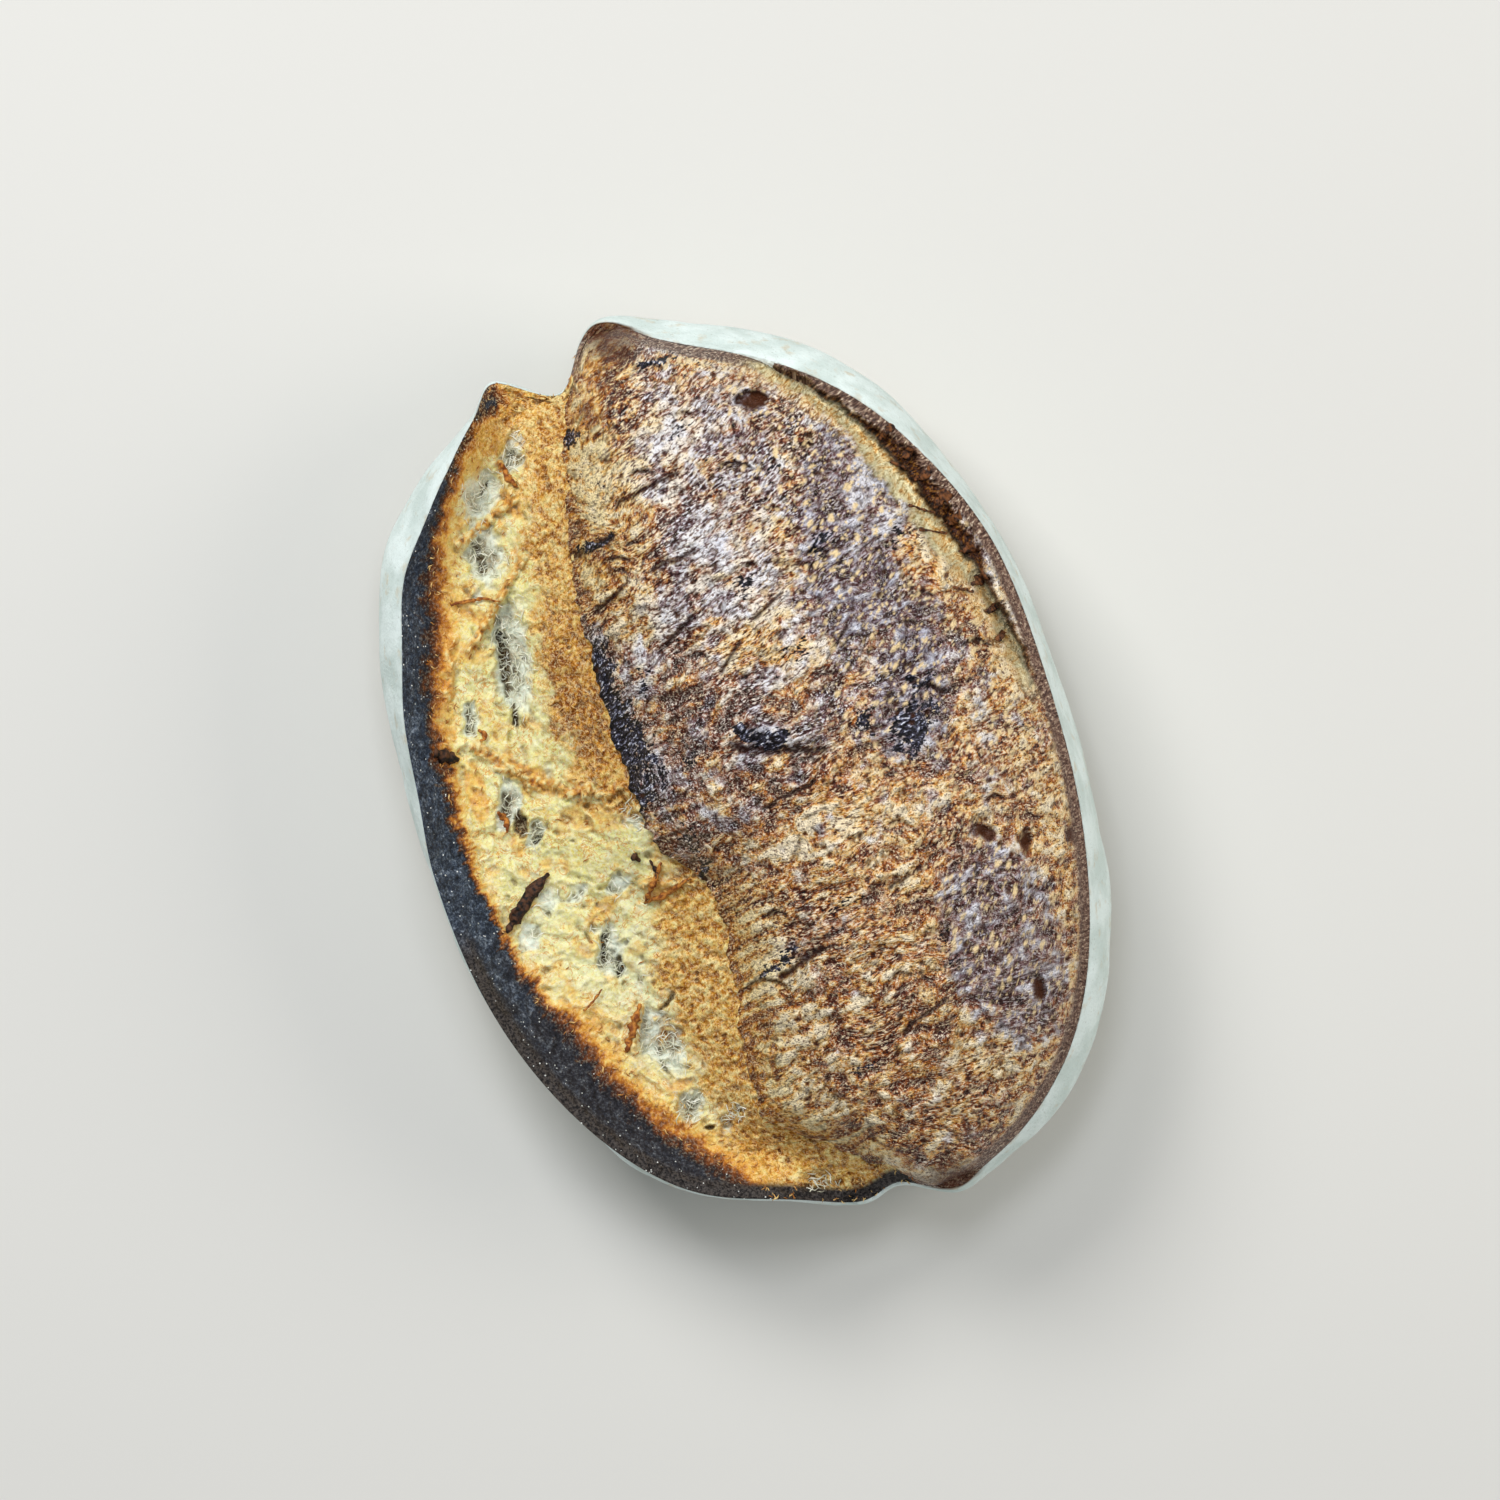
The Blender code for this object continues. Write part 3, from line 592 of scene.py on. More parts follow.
def patched(x, y, patches, ragged, full):
    """The strongest of some soft patches at each point."""
    most = 0 * x
    for patch in patches:
        most = np.maximum(most, patch[-1] * fade(oval_share(x, y, patch, ragged), 0, full))
    return most


def crumb_cells(x, y):
    """Hollows of the crumb's bubbles from wide to tiny, the webs between them, and its pores."""
    warp_x = x + 0.3 * y + 2.0 * ripple([x / 8, y / 8], 11) + 0.5 * ripple([x / 2.5, y / 2.5], 25)
    warp_y = y + 2.0 * ripple([x / 8, y / 8], 12) + 0.5 * ripple([x / 2.5, y / 2.5], 26)
    near, far, number = bubbles([warp_x / 9 + 3, warp_y / 14], 60)
    wide = bowls(near, far, 0.8) * fade(number, 0.1, 0.7)
    near, far, number = bubbles([warp_x / 5.0, warp_y / 7.5], 13)
    big = bowls(near, far, 0.9) * fade(number, 0.2, 0.9)
    web = 1 - np.clip((far - near) / 0.14, 0, 1)
    near, far, number = bubbles([warp_x / 1.9, warp_y / 2.8], 14)
    small = bowls(near, far) * fade(number, 0.0, 0.7)
    small_web = 1 - np.clip((far - near) / 0.2, 0, 1)
    near, far, _ = bubbles([warp_x / 0.95, warp_y / 1.2], 27)
    tiny = bowls(near, far)
    near, _, number = bubbles([warp_x / 3.0, warp_y / 4.6], 62)
    pores = fade(0.2 + 0.3 * number - near, 0, 0.3) * (number > 0.55)
    return wide, big, small, tiny, web, small_web, pores


def crumb_zones(x, y, fibre):
    """How far each point is past the char, and where the torn face is charred, toasted, tan or at an end."""
    fringe = along(TOAST_LINE, y) - along(CHAR_LINE, y)
    ragged = 2.4 * fibre + 4.4 * rough([x / 7, y / 7], 18, 4, 0.7)
    past = x - along(CHAR_LINE, y) + ragged
    past = past / (np.maximum(fringe, 2.6) * (0.8 + 0.1 * fade(-y, 10, 60)))
    tan_from = along(TAN_LINE, y) + 9 * rough([x / 8, y / 8], 19)
    tan = fade(x, tan_from - 6, tan_from + 7)
    return past, 1 - fade(past, -0.3, 0.2), 1 - fade(past, 0.4, 1.8), tan, fade(np.abs(y), 104, 122)


def crumb_glow(x, y):
    """Golden warmth beside the toasted fringe, wider towards the -Y end."""
    low = fade(-y, 10, 60)
    from_toast = x - along(TOAST_LINE, y) + 7 * rough([x / 10, y / 10], 59)
    return (0.6 + 0.4 * low) * (1 - fade(from_toast, 0, 7 + 13 * low))


def dig_holes(height, bent, wobble):
    """Sinks the crumb's holes, and gives how far each point is inside one."""
    hollow = 0 * height
    for hole in CRUMB_HOLES:
        share = oval_share(*bent, hole, 1.3 * wobble)
        height = height - 1.15 * hole[-1] * share**HOLE_CURVE
        hollow = np.maximum(hollow, share**0.85 * min(1, hole[-1] / FULL_HOLE))
    return height, hollow


def cut_slots(height, dark, middle, wobble):
    """Cuts the narrow openings far down in the holes, and paints shade in them."""
    for slot in CRUMB_SLOTS:
        share = oval_share(*middle, slot, 1.6 * wobble)
        height = height - 1.3 * slot[-1] * share**HOLE_CURVE
        dark = np.maximum(dark, fade(share, 0.0, 0.6) * fade(slot[-1], 0.2, 3.0))
    return height, dark


def raise_strands(x, y, height, wobble, curl, grain):
    """Raises the thick strands between the holes, and gives where they run."""
    ridge = 0 * x
    for strand in CRUMB_STRANDS:
        share = strand_share(x + 7 * wobble + 0.8 * curl, y + 5 * wobble + 0.8 * grain, strand)
        share = share * (0.5 + 0.5 * fade(grain, -0.4, 0.3))
        height = height + strand[-1] * share
        ridge = np.maximum(ridge, share)
    return height, ridge


def crumb_relief(x, y, inside, shape):
    """Height, shading masks and flow of the torn crumb."""
    arc = np.degrees(np.arctan2(y, x)) % 360 * ARC_PER_DEGREE
    wide, big, small, tiny, web, small_web, pores = crumb_cells(x, y)
    grain = rough([x / 2.3, y / 2.3], 15, 3, 0.6)
    curl = rough([x / 4.2, y / 4.2], 30, 4, 0.8)
    fibre = rough([inside / 6, arc / 1.5], 17, 3, 0.7)
    wobble = 0.4 * rough([x / 5, y / 5], 21)
    past, char, toast, tan, ends = crumb_zones(x, y, fibre)
    open_crumb = np.clip(1 - toast - 0.85 * tan - ends, 0, 1)

    depth = shape.crumb_depth * 1000
    foam = 0.9 * big + 1.3 * wide + 0.3 * small + 0.08 * tiny - 0.15 * web
    height = -0.7 * depth * foam * (0.15 + 0.85 * open_crumb)
    height = height + 0.5 * grain + (2.4 * curl - 0.8 * small) * (0.1 + 0.9 * tan) + 0.8 * fibre * toast
    pores = pores * open_crumb * fade(rough([x / 10, y / 10], 61), -0.1, 0.15)
    height = height - 1.2 * pores
    bent = x + 3.2 * rough([x / 5, y / 5], 55, 3), y + 3.2 * rough([x / 5, y / 5], 56, 3)
    height, hollow = dig_holes(height, bent, wobble)
    height = height + fade(hollow, 0, 0.3) * depth * (0.75 * big - 0.15 * small)
    # Painted shade in the slots, and fainter in the pores
    height, dark = cut_slots(height, 0.35 * pores, ((x + bent[0]) / 2, (y + bent[1]) / 2), wobble)
    height, ridge = raise_strands(x, y, height, wobble, curl, grain)
    hollow, dark = hollow * (1 - ridge), dark * (1 - ridge)
    height = height + char * 0.6 * rough([x / 1.5, y / 2.4], 24)

    warm = 0.7 * fade(rough([x / 8, y / 8], 34) + 0.25 * (1 - hollow), 0.3, 0.6)
    warm = np.maximum(warm, patched(x, y, TOAST_PATCHES, 1.2 * wobble, 0.5))
    warm = warm * (1 - fade(hollow, 0.1, 0.5))
    webs = np.clip(0.7 * web + 0.6 * small_web, 0, 1) * np.maximum(open_crumb, fade(hollow, 0, 0.2))
    frayed = np.maximum(0.6 * between(past, (0.0, 0.25, 1.1, 1.9)), 0.4 * tan + 0.5 * ridge + 0.4 * warm)
    masks = {
        "toasted": past / 3 + 0.25 + ends * (0.3 + 0.2 * curl) - 0.35 * horn_share(x, y),
        "char": char,
        "tan": np.maximum(tan, ends),
        "rust": tan * between(y, (0, 14, 50, 66)),
        "gold": np.clip(fade(rough([x / 9, y / 13], 20), 0.0, 0.45) + 0.5 * tan, 0, 1),
        "glow": crumb_glow(x, y),
        "low": 0.75 * fade(rough([x / 8, y / 8], 58) * 40 - y, 0, 50),
        "warm": warm,
        "bowl": open_crumb * np.clip(0.6 * big + 0.6 * wide + 0.2 * small, 0, 1),
        "cell": small,
        "web": webs,
        "hollow": hollow,
        "deep_shade": dark,
        "ridge": ridge,
        "tufts": (1 - char) * frayed,
    }
    return height, masks, (inside, arc)


def shading_from_relief(z, reach, scale):
    """Painted shade and light from the relief: 0 in hollows, 1 on ridges, 0.5 where even; each height less the
    mean of those round it.
    """
    mean, weight = 0 * z, 0
    for across, down in itertools.product(range(-reach, reach + 1), repeat=2):
        rows = np.clip(np.arange(z.shape[0]) + across, 0, z.shape[0] - 1)
        cols = np.clip(np.arange(z.shape[1]) + down, 0, z.shape[1] - 1)
        mean, weight = mean + z[rows][:, cols], weight + 1
    return np.clip(0.5 + (z - mean / weight) / (2 * scale), 0, 1)


def crumb_surface(shape, rows=640, columns=150):
    """The torn face from the ear's edge to just under the dome's crust."""
    b = np.linspace(-1, 1, rows)
    split = edge_columns(b) + UNDER_CRUST
    a = -1 + (split[:, None] + 1) * np.linspace(0, 1, columns)[None, :]
    x, y = plan_of(a, np.broadcast_to(b[:, None], a.shape))
    angle = np.arctan2(y, x)
    inside = inside_crest(x, y)
    relief, masks, flow = crumb_relief(x, y, inside, shape)
    past_edge = x - crust_edge(y)
    edge_hold = fade(inside, 0, 2.5)
    ear = ear_rise(x, y, shape.ear_rise * 1000)
    degrees = np.degrees(angle) % 360
    rolled = edge_roll(y, degrees) * (1 - fade(inside, 0, 4.5)) ** 2
    under = np.clip(past_edge, 0, 8)
    z = body_height(x, y) + ear + relief * (0.25 + 0.75 * edge_hold) - rolled
    z = z + crest_wobble(angle) * (1 - fade(inside, 0, WOBBLE_REACH)) * (x < 0)
    z = z - 0.5 * under * (past_edge > 0)
    z = z + lumps([x, y, z]) * fade(np.hypot(x, y), 90, 60)
    # Painted shade in the crumb's hollows and painted light on its ridges, from its relief
    masks["relief_shading"] = shading_from_relief(z, 3, 1.2)
    masks["rim"] = fade(-y, 4, 22) * (1 - fade(inside, 3.2, 5.4)) * fade(degrees, 178, 190)
    return np.stack([x, y, z], axis=-1), masks, flow


def fold_crust(x, y, height, curl):
    """Stands each fold over the hollow below it, and gives the painted shadow lines under the folds."""
    shade = 0 * x
    up_x, up_y = math.cos(math.radians(FOLD_DIRECTION)), math.sin(math.radians(FOLD_DIRECTION))
    for top_x, top_y, radius, span, lift in CRUST_FOLDS:
        dx, dy = x - top_x + radius * up_x, y - top_y + radius * up_y
        past = np.hypot(dx, dy) + 0.8 * curl - radius
        turned = np.degrees(np.abs(np.arctan2(dx * up_y - dy * up_x, dx * up_x + dy * up_y)))
        share = 1 - fade(turned, 0.6 * span, span)
        height = height + lift * share * np.where(past > 0, 0.6, -0.8) * np.exp(-np.abs(past) / FOLD_REACH)
        shade = np.maximum(shade, share * np.exp(-(((past + 0.5) / 0.6) ** 2)))
    return height, shade


def crease_crust(height, shade, moved):
    """Sinks the creases, and adds where their painted shadow lies."""
    for crease in CRUST_CREASES:
        share = strand_share(*moved, (*crease[:4], 1.4 * crease[4], 0))
        height = height - 1.4 * crease[-1] * share
        shade = np.maximum(shade, share)
    return height, shade


def crust_specks(x, y, curl, fine):
    """Small pits, and pale specks in two sizes."""
    near, _, number = bubbles([x / 6, y / 6], 38)
    pits = fade(0.17 - near, 0, 0.1) * (number > 0.75)
    near, _, number = bubbles([(x + 0.7 * curl) / 4.2, (y - 0.5 * x + 0.7 * fine) / 3.0], 39)
    speck = fade(0.10 + 0.2 * number + 0.12 * curl - near, 0, 0.12) * (number > 0.62)
    near, _, number = bubbles([(x + 0.3 * curl) / 1.7, (y + 0.3 * fine) / 1.5], 48)
    finer = fade(0.10 + 0.22 * number + 0.1 * curl - near, 0, 0.12) * (number > 0.55)
    return pits, np.maximum(speck, finer)


def blister_crust(x, y, height, shade, wobble):
    """Raises the blisters and sinks the pits among them, and shades the pits."""
    for blister in CRUST_BLISTERS:
        share = oval_share(x, y, blister, wobble)
        height = height + blister[-1] * share**BLISTER_CURVE
        if blister[-1] < 0:
            shade = np.maximum(shade, fade(share, 0.15, 0.8))
    return height, shade


def crust_stains(x, y, wobble, wide, fine):
    """Shares of the crust's colours: golden, mauve (a painted bluish sky reflection), pale (partly a painted
    sheen), burnt, tan and dark.
    """
    sky_reflection = patched(x, y, SKY_REFLECTION_PATCHES, wobble * 0.9, 0.7)
    pale = patched(x, y, PALE_AND_SHEEN_PATCHES, wobble * 0.9, 0.8)
    gold = patched(x, y, GOLD_PATCHES, wobble * 0.9, 0.7)
    far_x, far_y = x + 5 * rough([x / 7, y / 7], 52, 3, 0.7), y + 5 * rough([x / 7, y / 7], 53, 3, 0.7)
    burn = 0 * x
    for patch in BURNT_PATCHES:
        burn = np.maximum(burn, patch[-1] * oval_share(far_x, far_y, patch, wobble) ** 0.7)
    ragged = x - crust_edge(y) + 4.5 * rough([x / 4, y / 4], 43, 4, 0.7)
    burn = np.maximum(burn, 1.1 * (1 - fade(ragged, 1.0, 10.0)) * between(y, (-8, 8, 42, 60)))
    tan_low = between(y, (-128, -112, -40, -6)) * (1 - fade(ragged, 4, 30))
    tan_top = between(y, (46, 68, 150, 151)) * (1 - fade(ragged, 6, 36))
    shade = 0.2 - 0.7 * wide - 0.6 * fine + 0.8 * rough([x / 14, y / 12], 44) - 0.8 * pale
    return {
        "gold": np.maximum(gold, 0.8 * fade(-y, -15, 40)),
        "sky_reflection": sky_reflection,
        "pale": pale,
        "burn": burn,
        "tan": np.maximum(tan_low, tan_top),
        "shade": fade(shade, -0.4, 0.9),
    }


def crust_relief(x, y, shape):
    """Height, shading masks and flow of the dome's crust."""
    slope = np.radians(3.5 + 0.115 * y)
    wild = fade(rough([x / 30, y / 30], 29) + fade(70 - y, -10, 60) * 0.5, 0.1, 0.6)
    bend = (1.2 + 2.6 * wild) * ripple([x / 14, y / 14], 31) + 1.1 * wild * ripple([x / 4.5, y / 4.5], 30)
    u, v = x, y - x * np.tan(slope) + bend
    wide = ripple([u / 15, v / 2.6], 32)
    fine = ripple([u / 7, v / 1.5], 33)
    thread = 1 - np.abs(ripple([u / 10, v / 2.2], 34)) * 2
    curl = rough([x / 4.6, y / 4.2], 35, 4, 0.8)
    knobs = 0.6 * rough([x / 10, y / 7], 36, 2) + 0.9 * np.abs(rough([x / 12, y / 8], 47, 3, 0.6))
    level = ripple([u / 18, v / 9], 37) * 3.0 + 0.7 * curl + 0.6 * wide
    plate = (np.floor(level) + fade(level - np.floor(level), 0.86, 1.0) - level) / 3.0
    height = shape.crust_relief * 1000 * (
        0.4 * wide + 0.22 * fine * (1 - 0.6 * wild) + 0.12 * thread * (1 - 0.6 * wild)
        + (0.5 + 0.8 * wild) * curl + 3.4 * knobs + 1.6 * plate
    )
    height, fold_shade = fold_crust(x, y, height, curl)
    height, fold_shade = crease_crust(height, fold_shade, (x + 1.4 * curl, y + 1.4 * curl + 0.6 * bend))
    pits, speck = crust_specks(x, y, curl, fine)
    height = height - 0.9 * pits + 0.12 * speck
    wobble = 0.5 * rough([x / 3.5, y / 3.5], 40)
    height, pit_shade = blister_crust(x, y, height, 0.8 * pits, wobble)
    masks = crust_stains(x, y, wobble, wide, fine)
    # Painted shadow under the plates' edges, the folds and the creases
    masks["edge"] = np.maximum(0.8 * fade(-plate, 0.2, 0.3), fold_shade)
    masks["speck"] = speck * fade(x + 18 * rough([x / 20, y / 20], 46), 12, 40)
    # Painted shade in the pits, and the horn tips' own brown
    masks["pit_shade_and_horn"] = np.maximum(pit_shade, 0.8 * horn_share(x, y))
    masks["wild"] = wild
    return height, masks, (u, v)


def crust_surface(shape, rows=458, columns=200):
    """The dome's crust, from its ragged left edge over the crack to the right flap's torn edge."""
    b = np.linspace(-1, 1, rows)
    split = edge_columns(b)
    a = split[:, None] + (1 - split[:, None]) * np.linspace(0, 1, columns)[None, :]
    x, y = plan_of(a, np.broadcast_to(b[:, None], a.shape))
    angle = np.arctan2(y, x)
    relief, masks, flow = crust_relief(x, y, shape)
    inside = inside_crest(x, y)
    crack, crack_away = crack_share(x, y)
    lip = 0.25 * (1 - fade(y, 72, 88)) + 0.75 * between(y, (-26, 4, 58, 72))
    step = shape.crust_step * 1000 * lip * (1 - fade(x - crust_edge(y), *CRUST_STEP_DOWN))
    hold = fade(inside, 2, 7) * (1 - 0.6 * crack)
    from_edge = x - crust_edge(y)
    calm = 1 - 0.7 * (1 - fade(from_edge, 0, 13)) * (fade(y, 64, 82) + fade(-y, 26, 50))
    z = body_height(x, y) + step + relief * (0.1 + 0.9 * hold) * calm - groove_cut(x, y)
    z = z - shape.crack_depth * 1000 * crack * (1 + 0.25 * rough([x / 3, y / 5], 51))
    z = z + ear_rise(x, y, shape.ear_rise * 1000)
    z = z + crest_wobble(angle) * (1 - fade(inside, 0, WOBBLE_REACH)) * (x < 0)
    z = z + lumps([x, y, z]) * fade(np.hypot(x, y), 90, 60)
    z = z - 0.35 * (1 - fade(inside, 0, 1.5))
    in_crack = between(y, CRACK_ENDS)
    run = np.cumsum(np.hypot(np.diff(x, axis=1), np.diff(body_height(x, y), axis=1)), axis=1)
    run = np.concatenate([0 * x[:, :1], run], axis=1)
    top = np.argmin(np.abs(x - along(PEAK_LINE, y)), axis=1)[:, None]
    flow = (run - np.take_along_axis(run - x, top, 1), flow[1])
    # Painted shade in the crust's hollows and painted light on its ridges, at a small and a wide size
    masks["relief_shading"], masks["swell"] = shading_from_relief(z, 2, 0.7), shading_from_relief(z, 5, 1.8)
    masks["crack"] = fade(crack, 0.05, 0.7)
    masks["torn"] = fade(-crack_away, -2.0, 0.6)
    narrow = between(crack_away, (-1.2, 0.2, 1.4, 2.6))
    # Painted shadow where the crack is narrowest
    masks["crack_shade"] = fade(crack, 0.5, 0.9) * narrow * between(y, CRACK_WIDEST)
    masks["lip"] = fade(crack_away, -7, -3) * (1 - fade(crack_away, -0.5, 1.2)) * in_crack
    masks["strip"] = (1 - fade(inside, 2.6, 4.2)) * fade(x, -6, 6) * (1 - horn_share(x, y))
    return np.stack([x, y, z], axis=-1), masks, flow


def skin_surface(shape, around=1150, down=58):
    """The floured side of the loaf as rings, from the torn edge to the edge of the base."""
    angle = np.linspace(0, 2 * math.pi, around, endpoint=False)[None, :]
    share = (np.linspace(0, 1, down) ** 1.25)[:, None]
    lower = np.clip(2 * share - 1, 0, 1)
    wide, crest = outline_radius(angle, 1 - lower**2), crest_radius(angle)
    crest_x, crest_y = crest * np.cos(angle), crest * np.sin(angle)
    degrees = np.degrees(angle) % 360
    rolled = edge_roll(crest_y, degrees) * (crest_x < 0)
    crest_height = body_height(crest_x, crest_y) + ear_rise(crest_x, crest_y, shape.ear_rise * 1000)
    crest_height = crest_height + crest_wobble(np.arctan2(crest_y, crest_x)) * (crest_x < 0) - rolled - 0.5
    upper = np.clip(2 * share, 0, 1)
    under_ear = EAR_UNDERCUT * between(degrees, UNDERCUT_ENDS)
    reach = wide - (wide - crest) * (1 - upper) ** SHOULDER_CURVE
    reach = reach - under_ear * np.sin(math.pi * upper**UNDERCUT_CURVE) ** 2
    height = crest_height + (WIDEST_HEIGHT - crest_height) * upper
    turn = lower * math.pi / 2
    reach = reach - FOOT_INSET * (1 - np.cos(turn))
    height = np.where(share > 0.5, WIDEST_HEIGHT * (1 - np.sin(turn)), height)
    x, y = reach * np.cos(angle), reach * np.sin(angle)
    spot = [x, y, height]
    lifted = fade(height, 1, 10)
    swell = lumps(spot) + 0.25 * rough([axis / 9 for axis in spot], 71)
    creases = 0.35 * fade(ripple([degrees / 7 + 0 * share, height / 30], 72), 0.1, 0.8)
    swell = (swell - creases) * lifted * fade(share, 0, 0.12)
    grow = 1 + swell / np.maximum(reach, 1)
    return np.stack([x * grow, y * grow, height + 0 * angle], axis=-1)


def colour(text):
    """A colour written as in a paint program, made linear for Blender."""
    parts = [int(text[k : k + 2], 16) / 255 for k in (1, 3, 5)]
    return tuple(c / 12.92 if c <= 0.04045 else ((c + 0.055) / 1.055) ** 2.4 for c in parts)


def quads(rows, columns, closed=False):
    """Corner numbers of the faces between the rows of a grid."""
    wide = columns if closed else columns - 1
    row, col = np.meshgrid(np.arange(rows - 1), np.arange(wide), indexing="ij")
    here, right = row * columns + col, row * columns + (col + 1) % columns
    return np.stack([here, right, right + columns, here + columns], axis=-1).reshape(-1, 4)


def fan(loop, centre):
    """Faces from a loop of corners to one centre."""
    return np.stack([loop, np.roll(loop, -1), np.full(len(loop), centre)], axis=-1)


def mesh_object(name, points, face_sets, masks=None, flow=None):
    """An object from points in mm and faces by corner number, with each mask as an attribute."""
    mesh = bpy.data.meshes.new(name)
    faces = [list(map(int, face)) for group in face_sets for face in group]
    mesh.from_pydata((np.asarray(points) * MM).tolist(), [], faces)
    for label, values in (masks or {}).items():
        values = np.clip(np.resize(values, len(points)), 0, 1).astype(np.float32)
        mesh.attributes.new(label, "FLOAT", "POINT").data.foreach_set("value", values)
    if flow is not None:
        corner = np.empty(len(mesh.loops), np.int32)
        mesh.loops.foreach_get("vertex_index", corner)
        layer = mesh.uv_layers.new(name="flow")
        laid = np.stack(flow, axis=-1)[corner] * FLOW_SCALE
        layer.data.foreach_set("uv", laid.astype(np.float32).ravel())
    cleaner = bmesh.new()
    cleaner.from_mesh(mesh)
    bmesh.ops.recalc_face_normals(cleaner, faces=cleaner.faces)
    cleaner.to_mesh(mesh)
    cleaner.free()
    mesh.shade_smooth()
    thing = bpy.data.objects.new(name, mesh)
    bpy.context.scene.collection.objects.link(thing)
    return thing


def closed_patch(name, grid, masks, skirts, centre, flow=None):
    """A surface patch closed underneath: its edge goes down through the skirts to one hidden point.

    skirts gives each ring below the edge as (share of the way towards the centre, drop in mm).
    """
    rows, columns = grid.shape[:2]
    number = np.arange(rows * columns).reshape(rows, columns)
    loop = np.concatenate([number[0, :-1], number[:-1, -1], number[-1, :0:-1], number[:0:-1, 0]])
    points, faces = [grid.reshape(-1, 3)], [quads(rows, columns)]
    edge = grid.reshape(-1, 3)[loop]
    last = loop
    for share, drop in skirts:
        ring = edge + (np.array(centre) - edge) * [share, share, 0] - [0, 0, drop]
        start = sum(len(p) for p in points)
        here = np.arange(start, start + len(loop))
        faces.append(np.stack([last, np.roll(last, -1), np.roll(here, -1), here], axis=-1))
        points.append(ring)
        last = here
    faces.append(fan(last, sum(len(p) for p in points)))
    points.append(np.array([centre], float))
    whole = np.concatenate(points)

    def spread(values):
        flat = np.asarray(values).reshape(-1)
        return np.concatenate([flat] + [flat[loop]] * len(skirts) + [flat[:1]])

    spread_masks = {label: spread(values) for label, values in masks.items()}
    spread_flow = None if flow is None else [spread(values) for values in flow]
    return mesh_object(name, whole, faces, spread_masks, spread_flow)


def node(tree, kind, inputs=(), **settings):
    """Adds one node, with settings by attribute and inputs by name or number, each a value or a link."""
    made = tree.nodes.new(kind)
    for name, value in settings.items():
        setattr(made, name, value)
    for name, value in dict(inputs).items():
        socket = made.inputs[name]
        if isinstance(value, bpy.types.NodeSocket):
            tree.links.new(value, socket)
        else:
            socket.default_value = value
    return made


class Paint:
    """Short ways to lay colours and patterns over each other in one material."""

    def __init__(self, name):
        self.material = bpy.data.materials.new(name)
        self.material.use_nodes = True
        self.tree = self.material.node_tree
        self.shader = self.tree.nodes["Principled BSDF"]
        self.place = node(self.tree, "ShaderNodeTexCoord").outputs["Object"]

    def mask(self, name):
        return node(self.tree, "ShaderNodeAttribute", attribute_name=name).outputs["Fac"]

    def stretched(self, x=1.0, y=1.0, z=1.0, turn=0.0, source=None):
        mapping = node(self.tree, "ShaderNodeMapping", {"Vector": source or self.place, "Scale": (x, y, z)})
        mapping.inputs["Rotation"].default_value = (0, 0, math.radians(turn))
        return mapping.outputs["Vector"]

    def noise(self, size_mm, detail=2.0, vector=None, roughness=0.55, distortion=0.0):
        inputs = {
            "Vector": vector or self.place, "Scale": 1 / (size_mm * MM), "Detail": detail,
            "Roughness": roughness, "Distortion": distortion,
        }
        return node(self.tree, "ShaderNodeTexNoise", inputs).outputs["Fac"]

    def lines(self, size_mm, width, vector=None):
        """1 on thin curved lines this far apart, 0 between them."""
        away = self.math("ABSOLUTE", self.math("SUBTRACT", self.noise(size_mm, 3, vector, 0.6, 0.8), 0.5))
        return self.ramp(away, 0.0, width, 1.0, 0.0)

    def ramp(self, value, low, high, to_low=0.0, to_high=1.0):
        inputs = {"Value": value, 1: low, 2: high, 3: to_low, 4: to_high}
        return node(self.tree, "ShaderNodeMapRange", inputs, interpolation_type="SMOOTHSTEP").outputs[0]

    def math(self, operation, a, b=0.0, clamp=False, third=0.0):
        inputs = {0: a, 1: b, 2: third}
        return node(self.tree, "ShaderNodeMath", inputs, operation=operation, use_clamp=clamp).outputs[0]

    def times(self, a, b, plus=None):
        """One value times another, plus a third where it's given."""
        if plus is None:
            return self.math("MULTIPLY", a, b)
        return self.math("MULTIPLY_ADD", a, b, third=plus)

    def less(self, a, b):
        return self.math("SUBTRACT", a, b)

    def tint(self, value):
        """Four numbers for a colour, written out or given as numbers; a link stays as it is."""
        if isinstance(value, bpy.types.NodeSocket):
            return value
        return (*(colour(value) if isinstance(value, str) else value[:3]), 1)

    def mix(self, share, under, over, blend="MIX"):
        """The under colour with this share of the over colour."""
        inputs = {0: share, 6: self.tint(under), 7: self.tint(over)}
        return node(self.tree, "ShaderNodeMix", inputs, data_type="RGBA", blend_type=blend).outputs[2]

    def colours(self, value, places, tints):
        """A colour for each value, from the colours at these places on its scale."""
        made = node(self.tree, "ShaderNodeValToRGB", {"Fac": value})
        ramp = made.color_ramp
        while len(ramp.elements) < len(places):
            ramp.elements.new(0.5)
        for stop, place, tint in zip(ramp.elements, places, tints):
            stop.position = place
            stop.color = self.tint(tint)
        return made.outputs["Color"]

    def finish(self, base, roughness, bump, bump_mm, specular=0.5):
        """Sets the shader's colour, roughness and bump, the bump's height in real mm."""
        for name, value in (("Base Color", base), ("Roughness", roughness)):
            if isinstance(value, bpy.types.NodeSocket):
                self.tree.links.new(value, self.shader.inputs[name])
            else:
                self.shader.inputs[name].default_value = value
        self.shader.inputs["Specular IOR Level"].default_value = specular
        inputs = {"Height": bump, "Distance": bump_mm * MM, "Strength": 1.0}
        bumped = node(self.tree, "ShaderNodeBump", inputs)
        self.tree.links.new(bumped.outputs["Normal"], self.shader.inputs["Normal"])
        return self.material


